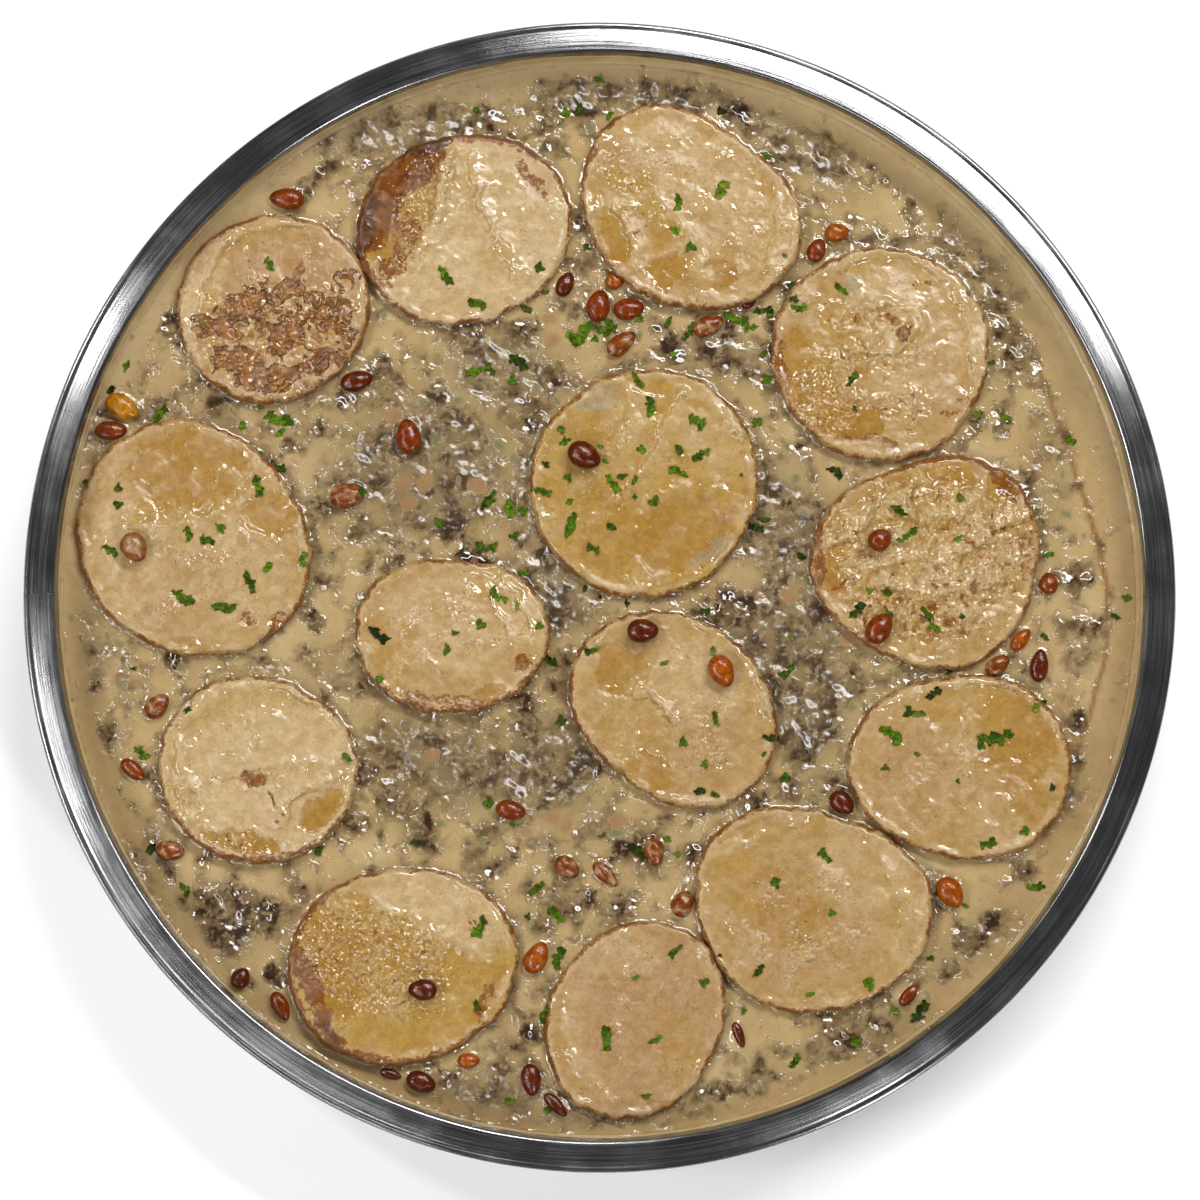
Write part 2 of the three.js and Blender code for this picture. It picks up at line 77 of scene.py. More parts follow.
# Potato slices: x, y, mean radius, oval and corner (each its amount and heading), top over the sauce,
# and how much it rises along x and y.
SLICES = [Slice(*row) for row in [
    (-97.4, 85.8, 28.5, (0.5, 33), (0.3, 20), 3.3, (0.02, -0.02)),
    (-40.5, 109.6, 30.3, (2, 16), (0.2, 25), 3.7, (-0.02, 0.01)),
    (26.3, 115.2, 31.2, (3.8, -36), (1.2, -6), 3.9, (0.01, -0.02)),
    (83.9, 72.3, 32.2, (0.4, 0), (0.3, 40), 3.3, (-0.02, -0.01)),
    (13.3, 33.6, 34, (0.6, 46), (0.3, 55), 3.9, (0.01, 0.02)),
    (98, 10.3, 32.8, (1.5, 11), (1.7, 52), 3.5, (-0.01, 0.02)),
    (-121, 16.8, 34.8, (2.1, -48), (0.6, -23), 3.5, (0.02, 0.01)),
    (-44.1, -11.5, 26, (3.2, 0), (0.5, 20), 3.8, (0, -0.04)),
    (22.2, -33.4, 29.5, (3.5, -38), (0.5, 47), 3.7, (-0.02, 0.02)),
    (107.3, -50.6, 30.3, (3, -3), (0.7, 55), 3.5, (0.02, -0.01)),
    (-101.6, -51.5, 28.7, (1, -15), (0.3, 0), 3.8, (0, -0.03)),
    (-58.7, -109.5, 31.6, (2.6, 10), (0.5, 12), 3.6, (-0.01, -0.02)),
    (10.2, -125.6, 27.8, (2.4, 60), (0.3, 51), 3.4, (0.01, 0.02)),
    (62.3, -92.9, 32.6, (2.8, -14), (1.5, 10), 3.9, (0.02, 0.01)),
]]

# Pine nuts: x, y, length, width, heading of the point, and look (n plain, o orange, y yellow, d dark,
# c coated, p pale on top).
NUTS = [Nut(*row) for row in [
    (-93.3, 118.8, 10.4, 6.5, 175, "n"), (-72.4, 64.2, 9.8, 6.2, 15, "d"), (-57, 47.5, 10.8, 7.6, 98, "n"),
    (-75, 30, 11, 7.4, 15, "c"), (-142, 56.4, 10.8, 7, -32, "y"), (-145.4, 49.4, 9.6, 5.8, 2, "n"),
    (-138, 14.2, 9.2, 7.8, -60, "p"), (-4.7, 41.5, 10.4, 8, -28, "d"), (-10.3, 93.2, 7.8, 5.2, 65, "d"),
    (-0.4, 86.7, 9.8, 7.2, 78, "n"), (8.7, 85.8, 9.2, 6.8, 8, "n"), (6.5, 75.5, 10, 6, 38, "c"),
    (32.4, 80.8, 9.8, 6, 25, "c"), (70.9, 108.8, 7.4, 5.6, 8, "o"), (64.8, 103.5, 7.4, 5.6, 68, "n"),
    (83, 16.5, 7.2, 6.8, 40, "n"), (133.6, 3.8, 6.6, 5.8, 90, "n"), (82.8, -9.8, 10, 7.4, 55, "n"),
    (125.2, -13, 8, 4.4, 50, "o"), (118.3, -20.5, 8, 5.4, 35, "c"), (130.7, -20.7, 9.8, 5.6, 83, "d"),
    (12.6, -10.6, 9.4, 7.2, 2, "d"), (36, -22.5, 10, 7.4, -65, "o"), (71.8, -61.4, 8.2, 6.4, -40, "d"),
    (103.8, -88, 10, 7.6, -58, "o"), (91.4, -118.4, 7.6, 4, 50, "n"), (24.5, -91.3, 8.2, 6.6, 60, "c"),
    (16, -76, 8.6, 6, -80, "c"), (1.5, -82.5, 9.4, 4.6, -45, "c"), (-10, -80.5, 8.2, 6.2, -30, "c"),
    (-26.5, -63.5, 9, 5.8, -12, "n"), (-131.4, -32.6, 8.6, 6, 45, "c"), (-138.5, -51.5, 8.6, 4.8, -40, "n"),
    (-127.3, -75.5, 8.6, 6, -5, "c"), (-106.4, -113.2, 6.6, 5.6, 60, "d"), (-94.6, -121.4, 9.2, 5, -64, "n"),
    (-52.5, -116.5, 8.6, 6.4, 178, "d"), (-18.9, -107.2, 10, 6.8, 62, "o"), (-53, -143.8, 9, 6.2, -20, "d"),
    (-39, -137.6, 6.6, 4.6, 0, "o"), (-20.5, -143.2, 9.6, 6, -85, "d"), (-13.2, -150.6, 9, 4, -46, "d"),
]]
# Nuts of which only an edge shows from under a slice.
TUCKED_NUTS = [Nut(*row) for row in [
    (4.5, 94.3, 6, 5, 20, "o"), (44.5, 88, 5, 3.6, 30, "d"), (-62, -141.5, 6.5, 3, -15, "d"),
    (41, -130, 8, 3.2, -70, "d"), (33, 7.5, 6, 3, 35, "n"),
]]
# Nuts wholly under the sauce, seen through it as pale ovals: x, y, length, width, heading.
SUNKEN_NUTS = table(5, """
-58 34 7 5.6 20  -52 34 7.5 5 70  -57 28 6 4.6 10  -61.5 54 6 4.6 20  -36.5 33 7 5 -30  -15 83 5 4 0
-14 76.5 5 4 30  4.5 71 6 4.5 20  5.5 -66.5 7 4.4 0  -14 -66 5 4 20  -10 -68 5 4 60  -50 -47 6 4.4 10
74 -12 6.5 5 40  56 0 6 4.5 -30  -22 -70 5 4 0""")

# Meat near or over the surface of the sauce: x, y, reach.
MEAT = table(3, """
-83 131 9  -68 129 4  -57 142 8  -45 144 8  -36 144 6  -16 151 8  -13 134 5  -4 147 5  6 150 6  18 154 5
28 152 5  40 147 7  46 140 5  57 134 5  68 143 3  93 128 4  86 124 3  92 116 4  104 116 5  107 105 8
113 97 6  118 88 7  127 88 6  122 79 6  129 74 6  120 50 4  56 24 6  51 32 5  53 15 6  40 -3 8  53 -18 7
66 -4 7  68 -30 7  75 -25 7  65 -38 8  60 -48 7  56 -57 6  45 -62 5  -12 7 6  -15 15 5  -22 37 6  -24 -33 7
-22 -43 8  -30 -50 7  -12 -27 6  -8 -45 6  -5 -52 7  -12 -58 7  -38 -46 6  -60 -62 8  -53 -70 7  -70 -52 6
-64 -45 7  -85 -7 5  -61 9 5  -93 44 4  -67 41 6  -84 50 4  -115 56 5  -66 68 6  -128 91 6  -24 78 7
-38 77 5  -20 55 7  -27 64 5  -37 50 5  -17 66 6  22 74 6  36 70 6  44 69 5  30 61 4  52 82 4  -143 -60 4
-146 -67 3  -150 -25 5  -127 -19 4  -116 -92 7  -106 -90 7  -110 -101 8  -89 -88 5  -96 -113 4  -47 -148 5
-36 -151 6  -26 -150 7  -20 -130 5  18 -156 3  35 -147 5  110 -103 7  116 -97 5  127 -92 5  103 -112 5
75 -134 6  89 -128 6  141 -60 4  138 -72 5  143 -50 5  142 -38 5  145 5 4  -48 60 5  -75 60 5  -45 20 6
-70 20 6  -35 8 6  -60 30 5""")
# Where thin grey sauce lies over meat: x, y, reach along and across the heading, heading, amount.
THIN = table(6, """
-52 40 36 29 10 0.95  -30 68 24 18 0 0.8  -66 62 16 10 -10 0.6  -45 -50 36 17 -15 0.95  -60 140 36 9 12 1
8 150 42 7 -2 0.95  62 132 26 9 -30 0.8  134 40 10 30 0 0.5  -150 44 8 26 -15 0.55  -135 -86 9 20 30 0.5
-82 -22 9 10 0 0.5  -90 49 14 6 0 0.5  -4 -153 60 6 0 0.55  84 -130 22 8 32 0.6  -84 60 10 6 0 0.6
-122 -20 14 5 10 0.4  -15 -50 20 22 0 0.9  58 -22 22 38 10 0.95  54 20 18 26 20 0.95  -12 2 18 18 0 0.95
40 70 24 10 0 0.6  -20 30 14 26 0 0.8  112 98 26 12 -48 0.6  118 70 14 18 -30 0.4  -108 -96 22 12 -15 0.5
-12 150 60 7 4 0.5  112 -102 24 10 35 0.5  -5 -75 26 12 0 0.3  140 -55 7 26 -12 0.5  -149 -10 8 24 0 0.6
-30 -146 28 8 0 0.8  44 -116 5 8 0 0.5  -96 128 16 8 28 0.3  60 -55 12 8 20 0.6  -130 62 14 10 0 0.3""")


def flakes(kind, text):
    """Parsley flakes of one kind, each written as x y length."""
    return [(*row, kind) for row in table(3, text)]


# Chopped parsley: bright, dark or olive flakes on the surface, and sunken ones seen through the sauce.
PARSLEY = flakes("bright", """
-98 99 5 -139 78 5 -149.5 58.5 5 -131 54.5 6 -96 52.5 9 -95 49 4 -46 95 6 -36.5 87.5 6 -18 98 4 -10 145 4
-6 146 4 3 144 3 0 155 4 50 132 4 23.5 117.5 5 22.5 109 4 27 104 4 55 101.5 2 -5 78 8 -8 77.5 5 1 79.5 5
3 81 5 -1.5 77 3 12 83 3 20.5 82 4 27 79 5 40 83 6 43.5 81.5 5 46 80.5 3 51 85 4 49 72.5 3 22 72.5 3
50 65 4 47 52 4 -26 64.5 4 -34.5 68 5 -38 67 4 -32 67 3 11 64 5 15 56.5 6 29 52 6 30.5 51.3 3 -11.5 49.5 3
-10.5 46 4 -9.5 35 3.5 -17 31 5 0 44.5 2 1.5 40 2 4 33.5 6 6.5 35.5 4 10.5 34.5 4 10.3 29.5 2 16 28 4
12.5 43.5 4 23.5 43.5 3.5 30 42 5.5 21.5 37.5 3 24 36.5 4.5 3.5 20.5 3.5 -8.5 21 7 -9 28 3 -3 14.5 3
-1 13.5 3 42 36 1.5 -16 39 3 59.5 85.5 5 72 91.5 5 75 64.5 5 117 70 3 112.5 54.5 4 121 53.5 4 -143 32 3
-143 27 4 -145.5 13.5 5 -122 18.5 5 -116.5 16.5 4.5 -112.5 20.2 4 -101.5 32.5 6 -88.5 11 5 -98.5 8.5 4
-103.5 4 6 -124 -0.5 7 -111.5 -3.5 7 -96 38.5 5 -101.5 42.5 3 -55 43.5 3 -70.5 31 4 -138.5 -21.5 2.5
-136 -46.5 5 -75 -48 3.5 -65.5 -25 3.5 -31.5 0.5 5 -28.5 -1 3 -35.5 -8.5 4 -43 -11 3 -45.5 -16 4 -18 -9 3
-32 29 5 -27 27.5 4 -26.5 25 4 -23 25.5 3.5 -25.5 18 4 -36 15 4 -32 14.5 4.5 -48 22 4 -22.5 7 4 49 23 4
56.5 28 2 -11.5 -37 4 56 -22.5 5 55 -54 4 -2.5 -16.5 4.5 34 -36.5 4.5 24.5 -43.5 4 31 -50 3 48.5 -47 2
34 -59 3 88.5 25.5 5 92 18.5 5 89 16.5 3 106.5 17 3.5 80 1.5 2.5 85 1 4 86 -5 3 107.5 -6 3 98 -7.5 8
140.5 46.5 4 134 12.5 3 157 -0.5 3.5 153.5 -6 3 132.5 -12 3 122.5 -26.5 3 86.5 -41 7 94 -47 2 84.5 -51 3
116.5 -42.5 8 113 -44.5 4 121 -41 4 106 -55 2 115 -74 5 126 -70 4 -122.5 -87 5 -83.5 -75.5 4 -33 -61.5 4
-26 -67.5 3 20 -72 3 23 -76.5 3 -18.5 -86.5 5 -13 -94.5 6 -35.5 -98 6.5 -36.5 -121 4 -12.5 -107 7
-16 -124 6 -27 -149.5 4 -15.5 -152 3 2 -131 8 16 -131.5 4.5 22 -105 4.5 10.5 -113 2.5 30.5 -114.5 4
13.5 -148 3.5 52 -85 4 66.5 -77.5 5 68.5 -94 3 80 -116 6 62 -118 3 42.5 -123 2.5 57.5 -138 5 75.5 -132 4
98 -107.5 3 108.5 -92 2.5 129 -86.5 5 -93 113 3 -141 69 4 -106.5 51 3 -4 104.5 3 -36.5 145.5 3""")
PARSLEY += flakes("dark", """
-147 62 5 36.5 145.5 4 49 85.5 6 57.5 93 4 -24 70 6 57.5 92.5 3 -152.5 34 3 -122 -34 3 -66 -12 7 -34 28 5
-4.5 2.3 2.5 46.5 20.5 5 31.5 -4.5 4 -15 -19 5 51 -42 5 29.5 -58 4 76.5 -4.5 6 70.5 37.5 5 104 -22 4
99 -29 5 91.5 -34.5 4 134 -57 3 -133 -75 4 11.5 -76 6 47 -111 4.5 94.5 -123 7 -21.5 -95 2.5 35.3 -106.5 2
76 56 2 58 88.5 3 -55 -73 3 8 -2 3 60 12 3""")
PARSLEY += flakes("olive", """
36 121.5 6 33.5 -16.5 3 107.5 29 4 94.5 -35 4 130 -32.5 5 87 -123 3.5 19 -20 3 -118 81 2 -24.5 -3 3
-101 56.5 2 -22 86 4 -16.5 91 3 57 -12 2""")
SUNKEN_FLAKES = flakes("sunken", """
-68.5 99 3 -64.5 84 4 -66 73 4 -86 139 4 -3 141 6 10.5 151 3 15 87 3 36.5 80.5 3 -42.5 58.5 4 -19 62 3
-13 58.5 3 79.5 111.5 2 91 121 3 123.5 64 3 130 73 3 59 122 2 62 114.5 3 -83 11.5 4 -83 24 2 -64 20 3
-142 -26 5 -143 -14 4 -148.5 -14 3 -157 -6.5 3 -124 -20.5 4 -35 -12 3 -25 41 4 -35.5 37.5 3 -49 47 5
-47 28 3 40.5 -11 5 138 36.5 3 139 24.5 4 133.5 -1 3 154.5 -26 2 137.5 -36.5 3 75 -33 4 95 -50 3 95 -55 4
114 -48 3 -47.5 -67.5 4 -35 -73 4 -31.5 -65.5 3 5 -70.5 5 1.5 -69 3 33.5 -144.5 3 34 -64 3 13.5 -64 2
2 -92 3 8 -88 4 -6.5 -95 4 58 -124.5 3 65.5 -136.5 3.5 -77 77 3 -52 58 4 -44 40 3 -30 45 4 58 35 4 62 5 4
45 -30 4 70 -14 4 -70 -60 4 -20 -62 4 12 78 3""")


# Colours, as sRGB numbers from 0 to 255
BRIGHTNESS = 0.63  # how bright the food is beside the floor that the lights turn white


def linear(r, g, b):
    """The linear colour of food that is to look like this in the picture."""
    c = np.array([r, g, b], float) / 255
    return BRIGHTNESS * np.where(c <= 0.04045, c / 12.92, ((c + 0.055) / 1.055) ** 2.4)


SPECK = linear(96, 70, 40)
SAUCE = linear(197, 169, 118)
SAUCE_PALE = linear(214, 190, 146)
SAUCE_EDGE = linear(178, 141, 92)
SAUCE_THIN = linear(150, 129, 86)
SAUCE_FILM = linear(118, 94, 64)
# lighter tone painted on the meat's crests, as painted light
MEAT_LIT_CREST = linear(110, 78, 56)
MEAT_DARK = linear(48, 26, 17)
CREAM = linear(205, 176, 127)
FLESH = linear(186, 149, 92)
PINK = linear(183, 144, 96)
AMBER = linear(170, 124, 48)
GOLD = linear(183, 144, 71)
BROWN = linear(132, 75, 20)
DARK_BROWN = linear(82, 38, 8)
HOLLOW = linear(146, 96, 46)
SLICE_SIDE = linear(188, 150, 102)
GREY_FILM = linear(160, 148, 124)
SUNKEN_NUT = linear(168, 126, 88)
SUNKEN_LEAF = linear(112, 118, 84)
NUT_COLOURS = {
    "n": linear(126, 50, 0), "o": linear(156, 74, 0), "y": linear(186, 120, 10), "d": linear(92, 30, 0),
    "c": linear(130, 60, 10), "p": linear(142, 80, 34),
}
LEAF_COLOURS = {
    "bright": linear(70, 98, 0), "dark": linear(38, 54, 0), "olive": linear(96, 108, 24),
}


# Fields over the plan. Each noise has a seed of its own, the last number of its call.
def smooth(low, high, value):
    """0 to 1 as the value goes from low to high, which may be the smaller number."""
    t = np.clip((value - low) / (high - low), 0, 1)
    return t * t * (3 - 2 * t)


def lattice(ix, iy, seed):
    """Repeatable 32-bit numbers for the corners of a lattice."""
    h = np.asarray(ix).astype(np.uint32) * np.uint32(374761393)
    h = h + np.asarray(iy).astype(np.uint32) * np.uint32(668265263)
    h = h + np.uint32((int(seed) * 974711 + 17) & 0xFFFFFFFF)
    h = (h ^ (h >> np.uint32(13))) * np.uint32(1274126177)
    return h ^ (h >> np.uint32(16))


def noise(x, y, size, seed):
    """Gradient noise of about -1 to 1, with features of this size."""
    x = np.atleast_1d(np.asarray(x, float)) / size
    y = np.atleast_1d(np.asarray(y, float)) / size
    ix, iy = np.floor(x).astype(np.int64), np.floor(y).astype(np.int64)
    fx, fy = x - ix, y - iy
    ux, uy = fx ** 3 * (fx * (fx * 6 - 15) + 10), fy ** 3 * (fy * (fy * 6 - 15) + 10)

    def corner(dx, dy):
        a = lattice(ix + dx, iy + dy, seed) * (2 * math.pi / 2 ** 32)
        return np.cos(a) * (fx - dx) + np.sin(a) * (fy - dy)

    low = corner(0, 0) * (1 - ux) + corner(1, 0) * ux
    high = corner(0, 1) * (1 - ux) + corner(1, 1) * ux
    return 1.6 * (low * (1 - uy) + high * uy)


def fbm(x, y, size, seed, octaves=3):
    """Noise with finer noise added, each octave half as large and half as strong."""
    total = 0
    for k in range(octaves):
        total = total + noise(x, y, size / 2 ** k, seed + 31 * k) / 2 ** k
    return total / 1.4


def ellipse(x, y, cx, cy, rx, ry, heading):
    """Distance from the middle of an ellipse as a share of its reach."""
    a = math.radians(heading)
    u, v = x - cx, y - cy
    return np.hypot((u * math.cos(a) + v * math.sin(a)) / rx, (v * math.cos(a) - u * math.sin(a)) / ry)


def full_turn(count):
    """This many angles, evenly round a circle."""
    return np.arange(count) * 2 * math.pi / count


def warped(x, y, broad, fine, seed):
    """The points moved by broad and by fine noise, each given as its amount and its size."""
    wx = x + broad[0] * noise(x, y, broad[1], seed) + fine[0] * noise(x, y, fine[1], seed + 1)
    wy = y + broad[0] * noise(x, y, broad[1], seed + 2) + fine[0] * noise(x, y, fine[1], seed + 3)
    return wx, wy


def mixed(colour, other, share):
    share = np.clip(share, 0, 1)[:, None]
    return colour * (1 - share) + other * share


def coated(colour, *coats):
    """The colour at each point under coats that follow each other, each a colour and its share."""
    for other, share in coats:
        colour = mixed(colour, other, share)
    return colour


def slice_radius(s, angle):
    r = s.radius + s.oval[0] * np.cos(2 * (angle - math.radians(s.oval[1])))
    r = r + s.corner[0] * np.cos(3 * (angle - math.radians(s.corner[1])))
    shift = s.x * 3.1
    for amount, reach, size, seed in ((0.5, 9, 3, 3), (0.4, 30, 4.5, 4), (0.35, 30, 2.2, 5)):
        r = r + amount * noise(np.cos(angle) * reach + shift, np.sin(angle) * reach, size, seed)
    return r


def slice_inward(s, x, y):
    """How far a point lies inside the outline of a slice."""
    return slice_radius(s, np.arctan2(y - s.y, x - s.x)) - np.hypot(x - s.x, y - s.y)


def slice_top(s, x, y):
    """Height of the plane that a slice's upper face follows."""
    return LEVEL + s.top + s.tilt[0] * (x - s.x) + s.tilt[1] * (y - s.y)


def slice_distance(x, y):
    """How far a point lies outside the nearest slice, negative inside it."""
    nearest = np.full(np.shape(x), FAR)
    for s in SLICES:
        near = np.hypot(x - s.x, y - s.y) < s.radius + 20
        nearest[near] = np.minimum(nearest[near], -slice_inward(s, x[near], y[near]))
    return nearest


def wall_radius(z):
    """Inner radius of the tray's wall at a height."""
    fold = TRAY["fold"]
    return TRAY["radius"] - TRAY["flange"] - fold - (TRAY["height"] - fold - z) * math.tan(TRAY["draft"])


def kofta_edge(angle):
    """Radius of the meat's edge, which falls back in a dent on one side."""
    turn = np.angle(np.exp(1j * (angle - math.radians(KOFTA["dent_heading"]))))
    waves = 0.6 * np.sin(5 * angle + 0.6) + 0.4 * np.sin(11 * angle + 2)
    return KOFTA["radius"] - KOFTA["dent"] * np.exp(-(turn / KOFTA["dent_width"]) ** 2) \
        + KOFTA["uneven"] * waves + 0.8 * noise(angle * 40, angle * 0, 3, 8)


def kofta_inward(x, y):
    """How far a point lies inside the meat's edge."""
    return kofta_edge(np.arctan2(y, x)) - np.hypot(x, y)


def on_slice(x, y):
    """The slice under a point, or None."""
    return next((s for s in SLICES if slice_inward(s, x, y) > 0), None)


def nut_share(x, y, n):
    """Distance from the middle of a nut as a share of its reach, 1 at its outline."""
    return ellipse(x, y, n.x, n.y, n.length / 2, n.width / 2, n.heading)


def nut_distance(x, y, nuts):
    """How far a point lies outside the waterline of the nearest nut."""
    nearest = np.full(np.shape(x), FAR)
    for n in nuts:
        near = np.hypot(x - n.x, y - n.y) < n.length
        nearest[near] = np.minimum(nearest[near], (nut_share(x[near], y[near], n) - 1) * n.width / 2)
    return nearest


def nut_middle(n, s):
    """Height of a nut's middle where it lies on slice s, or in the sauce where s is None."""
    tall = n.width * NUT_THICKNESS
    return slice_top(s, n.x, n.y) + 0.25 + tall / 2 if s else LEVEL + NUT_AFLOAT * tall


SAUCE_NUTS = [n for n in NUTS if not on_slice(n.x, n.y)] + TUCKED_NUTS


def sauce_warped(x, y):
    return warped(x, y, (1.8, 6), (0.8, 2.4), 11)


def meat_share(x, y):
    """1 where the meat comes up to the surface of the sauce, falling to 0 round such places."""
    wx, wy = sauce_warped(x, y)
    share = np.zeros(np.shape(x))
    for mx, my, reach in MEAT:
        q = np.hypot(wx - mx, wy - my) / reach
        share = np.maximum(share, 1 - smooth(0.35, 1.3, q))
    return share


def thin_share(x, y):
    """How much of the thin grey sauce lies at a point, 0 to 1."""
    wx, wy = sauce_warped(x, y)
    share = np.zeros(np.shape(x))
    for *place, amount in THIN:
        share = np.maximum(share, amount * (1 - smooth(0.3, 1.25, ellipse(wx, wy, *place))))
    return share


def meat_relief(x, y):
    """Coarse and whole relief of the minced meat, each about -1 to 1."""
    wx, wy = x + 1.1 * noise(x, y, 4.3, 21), y + 1.1 * noise(x, y, 4.3, 22)
    coarse = 0.55 * noise(wx, wy, 7.5, 23) + 0.5 * noise(wx, wy, 3.4, 24)
    return coarse, coarse + 0.36 * noise(wx, wy, 1.9, 25) + 0.16 * noise(x, y, 0.95, 26)


def meat_rise(x, y):
    """How near the meat comes to the surface: 1 where it shows, about 0.5 where cream lies over it."""
    rise = np.maximum(meat_share(x, y), 0.85 * thin_share(x, y))
    least = 0.54 - 0.1 * smooth(10, 110, x)
    rise = np.maximum(rise, least + 0.3 * noise(x, y, 17, 28) + 0.25 * noise(x, y, 6, 29))
    return np.clip(rise, 0, 1) * smooth(-5, -0.5, kofta_inward(x, y))


def meat_height(x, y, rise):
    drop = KOFTA["edge_drop"] * (1 - smooth(0, 5, kofta_inward(x, y)))
    low = KOFTA["low"] + 0.5 * noise(x, y, 12, 27) - drop
    high = LEVEL - 0.5 + 1.05 * meat_relief(x, y)[1]
    return low + rise * (high - low)


def sauce_height(x, y, rise):
    """Height of the sauce, which climbs a little at slices, nuts and wall and follows meat that rises."""
    h = LEVEL + 0.1 * noise(x, y, 24, 31) + 0.05 * noise(x, y, 8, 32)
    h += rise ** 2 * (0.4 * meat_relief(x, y)[0] + 0.1 * noise(x, y, 2.4, 34))
    d = np.maximum(slice_distance(x, y), -0.4)
    h += (0.75 + 0.35 * noise(x, y, 10, 36)) * np.exp(-(d + 0.4) / 0.9)
    away = (d - 3.8 - 0.9 * noise(x, y, 9, 38)) / 0.85
    h += 0.5 * smooth(-0.1, 0.5, noise(x, y, 20, 37)) * np.exp(-away ** 2)
    n = np.maximum(nut_distance(x, y, SAUCE_NUTS), -1.5)
    h += np.where(n > 0, 0.55 * np.exp(-n / 0.55), 0.55 + 0.25 * n)
    wall = wall_radius(LEVEL) - np.hypot(x, y)
    return h + 0.8 * np.exp(-np.maximum(wall, 0) / 0.9)


# Meshes
def piece(name, vertices, faces, slot, material, replaces=(), **fields):
    """A mesh piece on the part's one body, with its fields as attributes of its points."""
    mesh = bpy.data.meshes.new(name)
    mesh.from_pydata((np.asarray(vertices) * MM).tolist(), [], [list(map(int, f)) for f in faces])
    mesh.shade_smooth()
    for key, values in fields.items():
        values = np.asarray(values, float)
        if values.ndim == 2:
            data = mesh.attributes.new(key, "FLOAT_COLOR", "POINT").data
            data.foreach_set("color", np.column_stack([values, np.ones(len(values))]).ravel())
        else:
            mesh.attributes.new(key, "FLOAT", "POINT").data.foreach_set("value", values)
    mesh.materials.append(material)
    made = bpy.data.objects.new(name, mesh)
    bpy.context.scene.collection.objects.link(made)
    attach(made, "root")
    if replaces:
        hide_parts(*replaces)
    return made


def rings_to_faces(rings, count, closed_ends=True):
    """Faces of stacked rings of this many points each. The two middle points that close the ends come last."""
    i = np.arange(count)
    j = (i + 1) % count
    faces = []
    for k in range(rings - 1):
        a, b = k * count, (k + 1) * count
        faces += np.column_stack([a + i, b + i, b + j, a + j]).tolist()
    if closed_ends:
        first, last = rings * count, rings * count + 1
        end = (rings - 1) * count
        faces += np.column_stack([np.full(count, first), i, j]).tolist()
        faces += np.column_stack([np.full(count, last), end + j, end + i]).tolist()
    return faces


def adaptive_points(pitch, reach, keep, level):
    """Points of a square lattice that gets finer where level(x, y) rises from 0 to 1 and 2."""
    count = int(reach / pitch) // 4 * 4 + 4
    i, j = np.meshgrid(np.arange(-count, count + 1), np.arange(-count, count + 1))
    i, j = i.ravel(), j.ravel()
    x, y = i * pitch, j * pitch
    inside = keep(x, y)
    i, j, x, y = i[inside], j[inside], x[inside], y[inside]
    fineness = level(x, y)
    coarse = (i % 4 == 0) & (j % 4 == 0)
    middle = (i % 2 == 0) & (j % 2 == 0)
    kept = coarse | (middle & (fineness > 0.5)) | (fineness > 1.5)
    x, y, shift = x[kept], y[kept], 0.18 * pitch
    return x + shift * noise(x, y, 1.7, 41), y + shift * noise(x, y, 1.7, 42)


def triangulated(x, y, rim, keep):
    """Triangles over the points within the rim, their last points, without those whose middle isn't kept."""
    outer = list(range(len(x) - rim, len(x)))
    result = delaunay_2d_cdt([Vector((a, b)) for a, b in zip(x.tolist(), y.tolist())], [], [outer], 1, 1e-5)
    points = np.array([tuple(v) for v in result[0]])
    triangles = np.array(result[2])
    middle = points[triangles].mean(1)
    triangles = triangles[keep(middle[:, 0], middle[:, 1])]
    a, b, c = (points[triangles[:, k]] for k in range(3))
    turn = (b[:, 0] - a[:, 0]) * (c[:, 1] - a[:, 1]) - (b[:, 1] - a[:, 1]) * (c[:, 0] - a[:, 0])
    triangles[turn < 0] = triangles[turn < 0][:, ::-1]
    used = np.unique(triangles)
    renumbered = np.zeros(len(points), int)
    renumbered[used] = np.arange(len(used))
    return points[used, 0], points[used, 1], renumbered[triangles]


def with_rim(x, y, radius, count):
    """The points, then this many round the centre at a radius, or at one radius for each angle."""
    angles = full_turn(count)
    return np.concatenate([x, radius * np.cos(angles)]), np.concatenate([y, radius * np.sin(angles)])


def border_loops(triangles):
    """The closed loops of edges that belong to one triangle only, each in the order of its triangles."""
    edges = np.concatenate([triangles[:, [0, 1]], triangles[:, [1, 2]], triangles[:, [2, 0]]])
    there = set(map(tuple, edges.tolist()))
    after = {}
    for a, b in sorted(there):
        if (b, a) not in there:
            after.setdefault(a, []).append(b)
    loops = []
    while after:
        start = next(iter(after))
        loop, at = [], start
        while at in after:
            loop.append(at)
            onward = after[at].pop()
            if not after[at]:
                del after[at]
            at = onward
            if at == start:
                break
        loops.append(loop)
    return loops


